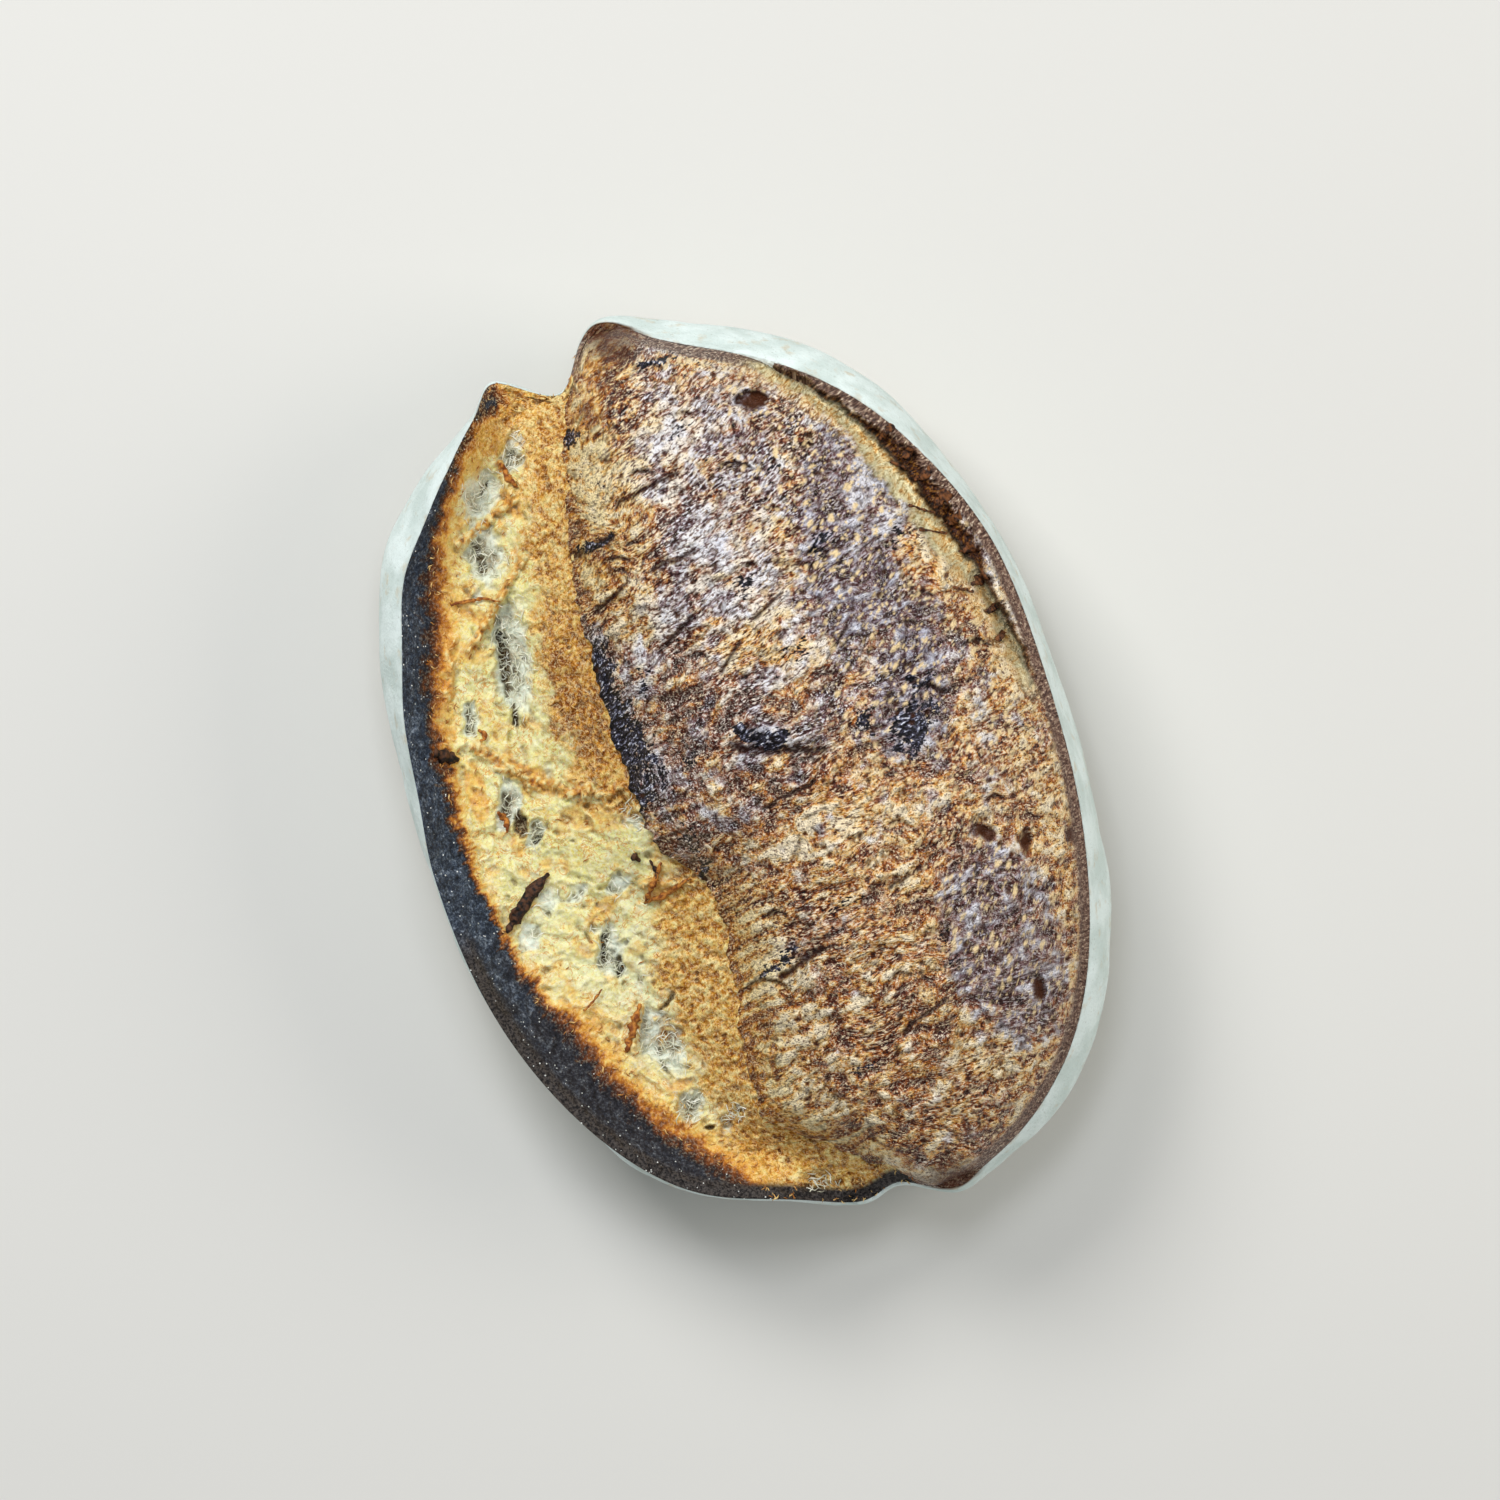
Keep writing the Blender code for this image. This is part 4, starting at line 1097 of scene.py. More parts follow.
def floured_skin(looks):
    """Baked skin under rice flour: pale grey-white, thin in places, bare on the ear's outer edge."""
    p = Paint("floured_skin")
    base = p.mix(p.ramp(p.noise(12, 4), 0.36, 0.66), looks.flour, "#CBD8D2")
    base = p.mix(p.times(p.ramp(p.noise(5.5, 4), 0.56, 0.74), 0.55), base, "#C9B695")
    base = p.mix(p.times(p.ramp(p.noise(0.9, 2), 0.60, 0.75), 0.45), base, "#A5A79B")
    base = p.mix(p.times(p.mask("upper"), p.ramp(p.noise(1.6, 3), 0.3, 0.7)), base, "#93938A")
    bare = p.mix(p.ramp(p.noise(1.2, 3), 0.35, 0.7), "#1E1B1B", "#4A423C")
    base = p.mix(p.mask("bare"), base, bare)
    stained = p.mix(p.ramp(p.noise(1.5, 3), 0.35, 0.65), "#2E1608", "#6E4A28")
    base = p.mix(p.mask("horn"), base, stained)
    low = p.mix(p.ramp(p.noise(4, 4), 0.4, 0.62), "#A97F4F", "#D9CBAE")
    base = p.mix(p.mask("under"), base, low)
    bump = p.math("ADD", p.times(p.noise(0.8, 3), 0.5), p.noise(3.2, 3))
    return p.finish(base, 0.92, bump, 0.35, specular=0.2)


def crisp(p, base, fine, shadow, glint, amount):
    """Darkens a colour where the fine noise is low, and lays a pale glint, a painted highlight, where it's
    high.
    """
    dark = p.mix(1.0, base, shadow, "MULTIPLY")
    base = p.mix(p.ramp(fine, 0.50, 0.36, 0, amount), base, dark)
    return p.mix(p.ramp(fine, 0.50, 0.64, 0, amount), base, glint)


def open_cells(p, looks, tone, grain, curl, solid):
    """Yellow crumb with golden warmth, pale bowls, holes pale at the rim and grey-green with painted shade
    further in, and bright webs and threads.
    """
    base = p.mix(p.ramp(curl, 0.36, 0.66), looks.crumb, "#ECDA6A")
    pale = p.mix(p.ramp(grain, 0.4, 0.65), "#FFFFDC", "#FAF0A4")
    base = p.mix(p.times(p.mask("low"), 0.7), base, pale)
    gold = p.colours(tone, (0.05, 0.35, 0.6, 0.85), ("#D49E34", "#ECC852", "#F8E480", "#FCF8B4"))
    base = p.mix(p.times(p.mask("gold"), p.ramp(curl, 0.3, 0.65, 0.2, 0.9)), base, gold)
    glow = p.colours(tone, (0.05, 0.35, 0.6, 0.85), ("#DE962C", "#F4BE48", "#FFDE6C", "#FFF29C"))
    base = p.mix(p.ramp(p.times(curl, 1.2, p.mask("glow")), 0.8, 1.6, 0, 0.9), base, glow)
    base = p.mix(p.times(p.mask("bowl"), 0.6), base, "#EEF2BC")
    # Holes: pale at the rim, with painted shade growing towards their bottoms
    hole = p.colours(
        p.times(grain, 0.5, p.less(p.mask("hollow"), 0.25)),
        (0.1, 0.35, 0.6, 0.8, 0.98), ("#FCFBD0", "#F8FFEA", "#F0FAEA", "#CCD0BC", "#8A8570"),
    )
    base = p.mix(p.ramp(p.mask("hollow"), 0.0, 0.6), base, hole)
    webs = p.times(p.mask("web"), p.times(solid, p.ramp(curl, 0.35, 0.6, 0.15, 0.8)))
    base = p.mix(webs, base, "#FFFBD2")
    threads = p.math("MAXIMUM", p.lines(1.9, 0.025), p.lines(3.6, 0.02))
    return p.mix(p.times(threads, 0.6), base, "#FFFEEC")


def tan_crumb(p, base, tone, curl, broad, tanned):
    """Orange-gold crumb towards the crust, with thin brown and pale lines."""
    baked = p.times(curl, 0.8, p.times(p.mask("rust"), -0.42, tone))
    baked = p.times(broad, 1.3, p.less(baked, 0.33))
    # Painted shade: the tan crumb is darker in its small cells
    baked = p.times(p.mask("cell"), -0.4, p.less(baked, 0.5))
    tan = p.colours(
        baked, (0.05, 0.28, 0.48, 0.68, 0.9), ("#8A4608", "#B87216", "#DC9C34", "#F4C668", "#FFEAA0")
    )
    tan = p.mix(p.times(p.lines(4.2, 0.03), 0.4), tan, "#96561A")
    tan = p.mix(p.times(p.lines(2.6, 0.03), 0.6), tan, "#FFF0BE")
    return p.mix(tanned, base, tan)


def toasted_crumb(p, base, tone, grain, broad, solid):
    """Warm patches and strings in the open crumb."""
    warm = p.colours(tone, (0.05, 0.32, 0.6, 0.85), ("#B46418", "#E29A34", "#F8CC64", "#FFEC9C"))
    base = p.mix(p.ramp(p.times(grain, 1.6, p.mask("warm")), 0.75, 2.0), base, warm)
    strings = p.times(p.lines(3.3, 0.045), p.times(solid, p.ramp(broad, 0.4, 0.58, 0.15, 0.85)))
    return p.mix(strings, base, "#DC962E")


def charred_edge(p, looks, base, stage, grain, fine):
    """Soot on the ear under a painted bluish sky sheen that fades towards the -Y end, with painted glints, and
    its dark rim.
    """
    soot = p.times(grain, 0.5, p.times(fine, 0.5))
    # Char with a painted bluish sky sheen; the lightest stops of both ramps are painted glints
    sheen_soot = p.colours(
        soot, (0.32, 0.48, 0.58, 0.68, 0.76), ("#12161E", looks.char, "#54606F", "#909CAC", "#DDEAEA")
    )
    grey = p.colours(
        soot, (0.34, 0.5, 0.62, 0.72, 0.8), ("#0E0C0D", "#2A272A", "#484849", "#787B7C", "#C8CCCE")
    )
    # The painted sheen gives way to plain soot where the low mask is high
    base = p.mix(p.ramp(stage, 0.27, 0.14), base, p.mix(p.mask("low"), sheen_soot, grey))
    rim = p.mix(p.ramp(fine, 0.35, 0.65), "#1B1819", "#4E4844")
    return p.mix(p.mask("rim"), base, rim)


def torn_crumb(looks):
    """Torn crumb: yellow cells, orange-gold towards the crust, toasted and charred at the ear; painted shade in
    its hollows, holes and slots, and painted glints.
    """
    p = Paint("torn_crumb")
    flow = node(p.tree, "ShaderNodeUVMap", uv_map="flow").outputs["UV"]
    fibre = p.noise(1.3, 5, p.stretched(0.1 / 1.5, 0.1, 1, source=flow), 0.76, 1.0)
    grain, fine = p.noise(2.6, 4, roughness=0.55), p.noise(0.8, 1, roughness=0.8)
    curl, broad = p.noise(1.5, 4, None, 0.7, 1.2), p.noise(7, 4)
    # The crumb's tone carries painted shade in hollows and painted light on ridges
    relief_shade_light = p.less(p.mask("relief_shading"), 0.5)
    tone = p.times(grain, 1.8, p.times(relief_shade_light, 0.9, -0.4))
    solid = p.ramp(p.mask("hollow"), 0.5, 0.0, 0.25, 1.0)
    tanned = p.ramp(p.times(grain, 1.6, p.mask("tan")), 0.95, 1.6)
    base = open_cells(p, looks, tone, grain, curl, solid)
    base = tan_crumb(p, base, tone, curl, broad, tanned)
    base = toasted_crumb(p, base, tone, grain, broad, solid)
    # Painted shade: the crumb darkens in its hollows
    base = p.mix(p.times(p.ramp(p.mask("relief_shading"), 0.42, 0.0), 0.6), base, "#94804A")
    # Painted shade in the slots and pores
    base = p.mix(p.mask("deep_shade"), base, p.mix(p.ramp(fine, 0.4, 0.65), "#4A3420", "#8D7C58"))
    stage = p.times(fibre, 0.24, p.less(p.mask("toasted"), 0.12))
    stage = p.times(grain, 0.4, p.less(stage, 0.2))
    stage = p.times(curl, 0.16, p.less(stage, 0.08))
    fringe = p.colours(
        stage, (0.16, 0.27, 0.37, 0.46, 0.55, 0.72),
        ("#1E1412", "#40261C", "#74401E", "#B87028", "#ECAA42", "#FBDC74"),
    )
    base = p.mix(p.ramp(stage, 0.78, 0.46), base, fringe)
    ridge = p.colours(tone, (0.1, 0.4, 0.65, 0.9), ("#9A5518", "#DC9438", "#F4C468", "#FDEBA8"))
    base = p.mix(p.ramp(p.times(grain, 1.2, p.mask("ridge")), 0.75, 1.3, 0, 0.95), base, ridge)
    # Fine grain with painted glints
    base = crisp(p, base, fine, "#8A5E34", p.mix(tanned, "#FFFDE4", "#FFE6B0"), p.times(tanned, 0.3, 0.12))
    base = charred_edge(p, looks, base, stage, grain, fine)
    bump = p.math("ADD", p.times(fibre, 0.5), p.math("ADD", p.times(fine, 0.4), curl))
    return p.finish(base, 0.6, bump, 0.5, specular=0.2)


def crust_tone(p, lump, mid, broad, relief_shade_light):
    """How light the crust is: lumps, slow fields, painted shade in hollows and painted light on ridges, and the
    patches that are pale (partly a painted sheen) or golden.
    """
    drift = p.times(p.less(p.mask("pale"), p.mask("shade")), 0.3, 0.0)
    drift = p.times(p.mask("gold"), 0.1, drift)
    # Painted shade in hollows and painted light on ridges, small and wide
    relief_shades_lights = p.times(relief_shade_light, 0.4, p.times(p.mask("swell"), 0.9, -0.95))
    tone = p.times(lump, 1.4, p.times(broad, 1.0, p.less(relief_shades_lights, 0.23)))
    return p.math("ADD", p.times(p.less(mid, 0.5), 2.3, tone), drift)


def crust_colour(p, looks, tone, lump, mid, broad, fine):
    """Brown and golden crust, mauve and plum where a bluish sky reflection is painted over it, with painted
    glints of the same colours.
    """
    browns = ("#451A10", looks.crust_dark, "#92563C", looks.crust_light, "#DCC6AC", "#FAEEDE")
    brown = p.colours(tone, CRUST_TONES, browns)
    warm = p.colours(tone, CRUST_TONES, ("#5A220A", "#8C4612", "#B66A22", "#D89A48", "#EEC884", "#FBE9C4"))
    # Mauve and plum: the crust's brown under a painted bluish sky reflection
    mauve = p.colours(tone, CRUST_TONES, ("#32181C", "#5A4046", "#7E6B72", "#A4989E", "#CCC6CC", "#F0EEF2"))
    plum = p.colours(tone, CRUST_TONES, ("#2A1418", "#4C3238", "#6A575F", "#868494", "#ACAFC0", "#E0E2F0"))
    hue = p.times(p.noise(8, 3, None, 0.45), 0.7, p.times(broad, 0.3))
    golden = p.ramp(p.times(p.mask("gold"), 0.16, hue), 0.47, 0.59)
    sky_reflected = p.ramp(p.times(mid, 1.6, p.mask("sky_reflection")), 1.05, 1.75, 0, 0.85)
    stray_reflection = p.ramp(p.times(p.mask("gold"), -0.2, p.noise(9, 3, None, 0.45)), 0.46, 0.58, 0, 0.85)
    tanned = p.ramp(p.times(lump, 1.4, p.mask("tan")), 0.85, 1.5)
    base = p.mix(stray_reflection, p.mix(golden, brown, warm), mauve)
    base = p.mix(tanned, p.mix(sky_reflected, base, plum), warm)
    edged = p.colours(
        tone, (0.05, 0.3, 0.5, 0.7, 0.9), ("#8A4812", "#B8701E", "#D8983C", "#F0C474", "#FCE6AC")
    )
    edge = p.ramp(p.times(lump, 0.8, p.mask("tan")), 1.1, 1.5)
    base = p.mix(edge, base, edged)
    # Colours of the painted glints, by zone
    shine = p.mix(stray_reflection, p.mix(golden, "#F6E8D8", "#F8E0B8"), "#EEEEF6")
    shine = p.mix(tanned, p.mix(sky_reflected, shine, "#C8C3D0"), "#FFE4AC")
    amount = p.times(edge, -0.4, p.times(sky_reflected, -0.3, 0.92))
    return crisp(p, base, fine, "#5C3428", shine, amount)


def crust_marks(p, base, lump, relief_shade_light, fine):
    """Thin lines of painted glint and of painted shade in creases, painted shadow under folds and creases,
    specks, burnt flecks with painted glints, and pits in painted shade.
    """
    # Painted glints along thin lines
    base = p.mix(p.times(p.lines(2.6, 0.02), 0.5), base, "#FBEFD6")
    # Painted shade along thin creases
    base = p.mix(p.times(p.lines(3.4, 0.018), 0.6), base, "#431C12")
    # Painted shadow under edges, folds and creases
    base = p.mix(p.times(p.mask("edge"), 0.95), base, "#2C1108")
    base = p.mix(p.times(p.mask("speck"), p.ramp(lump, 0.34, 0.5, 0.4, 1.0)), base, "#F0D4A0")
    # Charred crust: its lightest stops are painted glints, its tone holds painted relief shade and light
    charred = p.colours(
        p.times(fine, 3.0, p.times(relief_shade_light, 0.5, -1.1)),
        (0.10, 0.36, 0.58, 0.76, 0.92), ("#08070B", "#1E1A22", "#4A485A", "#969AAE", "#F0F3FA"),
    )
    burnt = p.times(fine, -2.2, p.times(lump, -1.5, p.mask("burn")))
    base = p.mix(p.ramp(burnt, -1.36, -1.18), base, charred)
    # Painted shade in the pits, and the brown horn tips
    return p.mix(p.mask("pit_shade_and_horn"), base, "#4A2612")


def crack_colour(p, base, lump, fine):
    """The strip of skin on the right flap, the crack's torn side and its far side in painted shade, the painted
    shadow in its narrowest part, and its golden lip.
    """
    depth = p.times(fine, 2.0, -0.5)
    strip = p.colours(depth, (0.2, 0.5, 0.75, 0.95), ("#3E2820", "#6E5244", "#A88E78", "#E4D4BC"))
    base = p.mix(p.mask("strip"), base, strip)
    # The crack's far side is painted shade; its torn side is pale crumb
    inner = p.colours(depth, (0.15, 0.5, 0.95), ("#1A0B06", "#4A2410", "#A4702C"))
    torn = p.colours(depth, (0.1, 0.4, 0.7), ("#A89C60", "#DADDB4", "#F6F4D0"))
    base = p.mix(p.mask("crack"), base, p.mix(p.mask("torn"), inner, torn))
    # Painted shadow in the narrowest part of the crack
    base = p.mix(p.mask("crack_shade"), base, p.mix(p.ramp(fine, 0.4, 0.62), "#120805", "#3A2010"))
    lip = p.colours(depth, (0.0, 0.35, 0.7), ("#8A5620", "#D49A48", "#FBE4A8"))
    return p.mix(p.times(p.mask("lip"), p.ramp(lump, 0.36, 0.6, 0.35, 0.95)), base, lip)


def baked_crust(looks):
    """Glossy crumpled crust, from golden to mauve-brown, with pale specks and burnt flecks."""
    p = Paint("baked_crust")
    flow = node(p.tree, "ShaderNodeUVMap", uv_map="flow").outputs["UV"]
    streak = p.noise(0.75, 1, p.stretched(0.1 / 2.5, 0.1, 1, source=flow), 0.8, 0.2)
    lump = p.noise(2.4, 2, p.stretched(0.1 / 2.0, 0.1, 1, source=flow), 0.5, 0.6)
    curl, mid, broad = p.noise(0.75, 1, None, 0.8, 0.5), p.noise(7, 3, None, 0.55, 0.6), p.noise(15, 3)
    fine = p.times(streak, 0.4, p.times(p.mix(p.mask("wild"), streak, curl), 0.6))
    relief_shade_light = p.less(p.mask("relief_shading"), 0.5)
    tone = crust_tone(p, lump, mid, broad, relief_shade_light)
    base = crust_colour(p, looks, tone, lump, mid, broad, fine)
    base = crust_marks(p, base, lump, relief_shade_light, fine)
    base = crack_colour(p, base, lump, fine)
    bump = p.math("ADD", p.times(streak, 0.6), p.times(lump, 0.9, p.times(curl, 0.6)))
    p.shader.inputs["Coat Weight"].default_value = looks.gloss
    p.shader.inputs["Coat Roughness"].default_value = 0.2
    return p.finish(base, p.ramp(fine, 0.4, 0.6, 0.5, 0.3), bump, 1.2, specular=0.2)


def plain_bread(name, low, high, grain_mm=1.5):
    """Small loose bits: two baked colours in a fine grain."""
    p = Paint(name)
    base = p.mix(p.ramp(p.noise(grain_mm, 4), 0.38, 0.62), low, high)
    return p.finish(base, 0.7, p.noise(0.5, 3), 0.15, specular=0.3)


def thread_piece(path, half_widths, half_thick, sides=6, ragged=0.0):
    """Points and faces of a closed tapering strip along a path of points in mm."""
    path = np.asarray(path, float)
    ahead = np.gradient(path, axis=0)
    ahead /= np.linalg.norm(ahead, axis=1)[:, None]
    across = np.cross(ahead, [0, 0, 1])
    across /= np.linalg.norm(across, axis=1)[:, None]
    up = np.cross(across, ahead)
    turn = np.linspace(0, 2 * math.pi, sides, endpoint=False)
    half = np.interp(np.linspace(0, 1, len(path)), np.linspace(0, 1, len(half_widths)), half_widths)
    half = half * (1 + ragged * ripple([path[:, 0] / 1.3, path[:, 1] / 1.3], 90))
    ring = across[:, None] * (np.cos(turn)[None, :] * half[:, None])[..., None]
    ring = ring + up[:, None] * (np.sin(turn)[None, :] * np.minimum(half, half_thick)[:, None])[..., None]
    points = np.concatenate([(path[:, None] + ring).reshape(-1, 3), path[:1], path[-1:]])
    last = (len(path) - 1) * sides
    faces = [quads(len(path), sides, True), fan(np.arange(sides), len(points) - 2)]
    return points, faces + [fan(np.arange(sides) + last, len(points) - 1)]


def joined(name, pieces):
    """One object from many small closed pieces, each given as points in mm and faces."""
    points, faces, start = [], [], 0
    for piece_points, piece_faces in pieces:
        points.append(piece_points)
        faces += [group + start for group in piece_faces]
        start += len(piece_points)
    return mesh_object(name, np.concatenate(points), faces)


def surface_points(name):
    """Corners of a built piece in mm."""
    mesh = bpy.data.objects[name].data
    flat = np.empty(3 * len(mesh.vertices), np.float32)
    mesh.vertices.foreach_get("co", flat)
    return flat.reshape(-1, 3) / MM


def drape(corners, path, lift):
    """Heights for a path of X, Y so that it lies this far over the corners near it."""
    laid = []
    for (x, y), raised in zip(path, np.broadcast_to(lift, len(path))):
        away = np.hypot(corners[:, 0] - x, corners[:, 1] - y)
        laid.append((x, y, corners[away < away.min() + NEAR_ENOUGH, 2].max() + raised))
    return laid


def curve_through(places, steps, sway, seed):
    """Points along a line of places, with a small random sway."""
    t = np.linspace(0, len(places) - 1, steps)
    x = np.interp(t, range(len(places)), [p[0] for p in places]) + sway * ripple([t * 2.3 + 0.5], seed)
    y = np.interp(t, range(len(places)), [p[1] for p in places]) + sway * ripple([t * 2.3 + 0.5], seed + 1)
    return list(zip(x, y))


def scatter_tree():
    """Nodes that scatter a small piece over the faces of a mesh and make the copies real."""
    tree = bpy.data.node_groups.new("scatter", "GeometryNodeTree")
    face = tree.interface
    face.new_socket("Geometry", in_out="OUTPUT", socket_type="NodeSocketGeometry")
    kinds = {
        "Geometry": "Geometry", "Piece": "Object", "Mask": "String", "Density": "Float", "Seed": "Int",
        "Least": "Float", "Most": "Float", "Tilt": "Float", "Material": "Material",
    }
    for label, kind in kinds.items():
        face.new_socket(label, in_out="INPUT", socket_type="NodeSocket" + kind)
    given = tree.nodes.new("NodeGroupInput").outputs
    mask = node(tree, "GeometryNodeInputNamedAttribute", {"Name": given["Mask"]}, data_type="FLOAT")
    density = node(tree, "ShaderNodeMath", {0: mask.outputs[0], 1: given["Density"]}, operation="MULTIPLY")
    points = node(tree, "GeometryNodeDistributePointsOnFaces", {
        "Mesh": given["Geometry"], "Density": density.outputs[0], "Seed": given["Seed"],
    })
    down = node(tree, "ShaderNodeMath", {0: given["Tilt"], 1: -1.0}, operation="MULTIPLY")
    low = node(tree, "ShaderNodeCombineXYZ", {0: down.outputs[0], 1: down.outputs[0], 2: 0.0})
    high = node(tree, "ShaderNodeCombineXYZ", {0: given["Tilt"], 1: given["Tilt"], 2: 2 * math.pi})
    turns = {0: low.outputs[0], 1: high.outputs[0]}
    turn = node(tree, "FunctionNodeRandomValue", turns, data_type="FLOAT_VECTOR")
    sizes = {2: given["Least"], 3: given["Most"], "Seed": SIZE_SEED}
    size = node(tree, "FunctionNodeRandomValue", sizes, data_type="FLOAT")
    piece = node(tree, "GeometryNodeObjectInfo", {"Object": given["Piece"]})
    copies = node(tree, "GeometryNodeInstanceOnPoints", {
        "Points": points.outputs["Points"], "Instance": piece.outputs["Geometry"],
        "Rotation": turn.outputs[0], "Scale": size.outputs[1],
    })
    real = node(tree, "GeometryNodeRealizeInstances", {"Geometry": copies.outputs[0]})
    looks = {"Geometry": real.outputs[0], "Material": given["Material"]}
    painted = node(tree, "GeometryNodeSetMaterial", looks)
    tree.links.new(painted.outputs[0], tree.nodes.new("NodeGroupOutput").inputs["Geometry"])
    return tree


def scattered(name, ground, piece, mask, count, sizes, tilt, material, seed):
    """A plain mesh of about count copies of the piece, where the ground's mask is high."""
    tree = bpy.data.node_groups.get("scatter") or scatter_tree()
    corners = surface_points(ground)
    mesh = bpy.data.objects[ground].data
    share = np.empty(len(corners), np.float32)
    mesh.attributes[mask].data.foreach_get("value", share)
    area = sum(face.area * share[face.vertices[0]] for face in mesh.polygons)
    host = bpy.data.objects.new(name + "_host", mesh)
    bpy.context.scene.collection.objects.link(host)
    changer = host.modifiers.new("scatter", "NODES")
    changer.node_group = tree
    values = {
        "Piece": piece, "Mask": mask, "Density": count / area, "Seed": seed, "Least": sizes[0] * MM,
        "Most": sizes[1] * MM, "Tilt": tilt, "Material": material,
    }
    for item in tree.interface.items_tree:
        if item.in_out == "INPUT" and item.name in values:
            changer[item.identifier] = values[item.name]
    made = bpy.data.meshes.new_from_object(host.evaluated_get(bpy.context.evaluated_depsgraph_get()))
    bpy.data.objects.remove(host)
    bpy.data.objects.remove(piece)
    made.name = name
    thing = bpy.data.objects.new(name, made)
    bpy.context.scene.collection.objects.link(thing)
    return thing


def settle(thing, material):
    """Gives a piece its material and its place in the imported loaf."""
    thing.data.materials.clear()
    thing.data.materials.append(material)
    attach(thing, "root")
    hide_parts("loaf")
    return thing


class LoafShape(bpy.types.PropertyGroup):
    """Sizes of the loaf's relief."""

    ear_rise: FloatProperty(
        name="Ear rise", description="Height of the raised flap", default=0.015, unit="LENGTH"
    )
    crumb_depth: FloatProperty(
        name="Crumb depth", description="Depth of the open crumb's cells", default=0.0019, unit="LENGTH"
    )
    crust_relief: FloatProperty(
        name="Crust relief", description="Height of the crust's knobs and flakes", default=0.001,
        unit="LENGTH",
    )
    crust_step: FloatProperty(
        name="Crust step", description="Height of the crust's torn left edge", default=0.0028, unit="LENGTH"
    )
    crack_depth: FloatProperty(
        name="Crack depth", description="Depth of the crack beside the right flap", default=0.010,
        unit="LENGTH",
    )
    grains: IntProperty(name="Flour grains", description="Grains of flour on the charred ear", default=700)
    fibres: IntProperty(name="Fibres", description="Torn fibres in the toasted fringe", default=3600)
    threads: IntProperty(name="Threads", description="Pale threads across the crumb's holes", default=700)


class LoafLooks(bpy.types.PropertyGroup):
    """Colours and gloss of the loaf."""

    flour: FloatVectorProperty(
        name="Flour", description="Floured skin", subtype="COLOR", default=colour("#E2EDE9"), size=3
    )
    crumb: FloatVectorProperty(
        name="Crumb", description="Palest crumb", subtype="COLOR", default=colour("#FAF6A0"), size=3
    )
    # Char: near black with a painted bluish sky sheen
    char: FloatVectorProperty(
        name="Char", description="Charred ear", subtype="COLOR", default=colour("#303A49"), size=3
    )
    # Dark and light crust: the crust's own tones, also carrying painted shade in hollows and painted light on
    # ridges
    crust_dark: FloatVectorProperty(
        name="Dark crust", description="Crust in its hollows", subtype="COLOR", default=colour("#683424"),
        size=3,
    )
    crust_light: FloatVectorProperty(
        name="Light crust", description="Crust on its ridges", subtype="COLOR", default=colour("#B88C6C"),
        size=3,
    )
    gloss: FloatProperty(
        name="Gloss", description="Shine of the crust", default=0.1, min=0, max=1, subtype="FACTOR"
    )


def skin_masks(x, y, z, row):
    """Where the skin is worn along its edge, bare, browned below and stained at the horns."""
    degrees = np.degrees(np.arctan2(y, x)) % 360
    wear = rough([x / 5, y / 5, z / 5], 81)
    window = between(degrees + 5 * wear, BARE_ENDS)
    return {
        "upper": (1 - fade(row, 0, 2.5)) * 0.8,
        "bare": fade(window, 0, 0.3) * (1 - fade(row + 5 * wear + 14 * (1 - window), 10, 17)),
        "under": 1 - fade(z + 2.5 * wear, 2.5, 9),
        "horn": horn_share(x, y) * (1 - fade(row + 6 * wear, 2, 13)),
    }


def skin_piece(shape):
    """The closed skin: hidden rings inside its torn edge, the side, and the base."""
    rings = skin_surface(shape)
    inner = [rings[0] * [1 - share, 1 - share, 1] - [0, 0, drop] for share, drop in SKIN_INNER_RINGS]
    base = [rings[-1] * [share, share, 0] for share in SKIN_BASE_RINGS]
    stack = np.concatenate([np.array(inner), rings, np.array(base)])
    rows, around = stack.shape[:2]
    points = np.concatenate([stack.reshape(-1, 3), [SKIN_INNER_CENTRE, (0, 0, 0)]])
    first = np.arange(around)
    last = first + (rows - 1) * around
    faces = [quads(rows, around, True), fan(first, rows * around), fan(last, rows * around + 1)]
    row = np.repeat(np.arange(rows), around) - len(inner)
    masks = skin_masks(*stack.reshape(-1, 3).T, row)
    masks = {label: np.concatenate([values, values[:2]]) for label, values in masks.items()}
    return mesh_object("floured_skin", points, faces, masks)


class LOAF_OT_skin(bpy.types.Operator):
    """Build the floured skin: the loaf's side and base"""

    bl_idname = "loaf.skin"
    bl_label = "Floured skin"

    def execute(self, context):
        settle(skin_piece(context.scene.loaf_shape), floured_skin(context.scene.loaf_looks))
        return {"FINISHED"}


class LOAF_OT_crumb(bpy.types.Operator):
    """Build the torn crumb between the ear and the dome"""

    bl_idname = "loaf.crumb"
    bl_label = "Torn crumb"

    def execute(self, context):
        grid, masks, flow = crumb_surface(context.scene.loaf_shape)
        patch = closed_patch("torn_crumb", grid, masks, CRUMB_SKIRTS, CRUMB_CENTRE, flow)
        settle(patch, torn_crumb(context.scene.loaf_looks))
        return {"FINISHED"}


class LOAF_OT_crust(bpy.types.Operator):
    """Build the dome's crust with the crack beside it"""

    bl_idname = "loaf.crust"
    bl_label = "Baked crust"

    def execute(self, context):
        grid, masks, flow = crust_surface(context.scene.loaf_shape)
        patch = closed_patch("baked_crust", grid, masks, CRUST_SKIRTS, CRUST_CENTRE, flow)
        settle(patch, baked_crust(context.scene.loaf_looks))
        return {"FINISHED"}


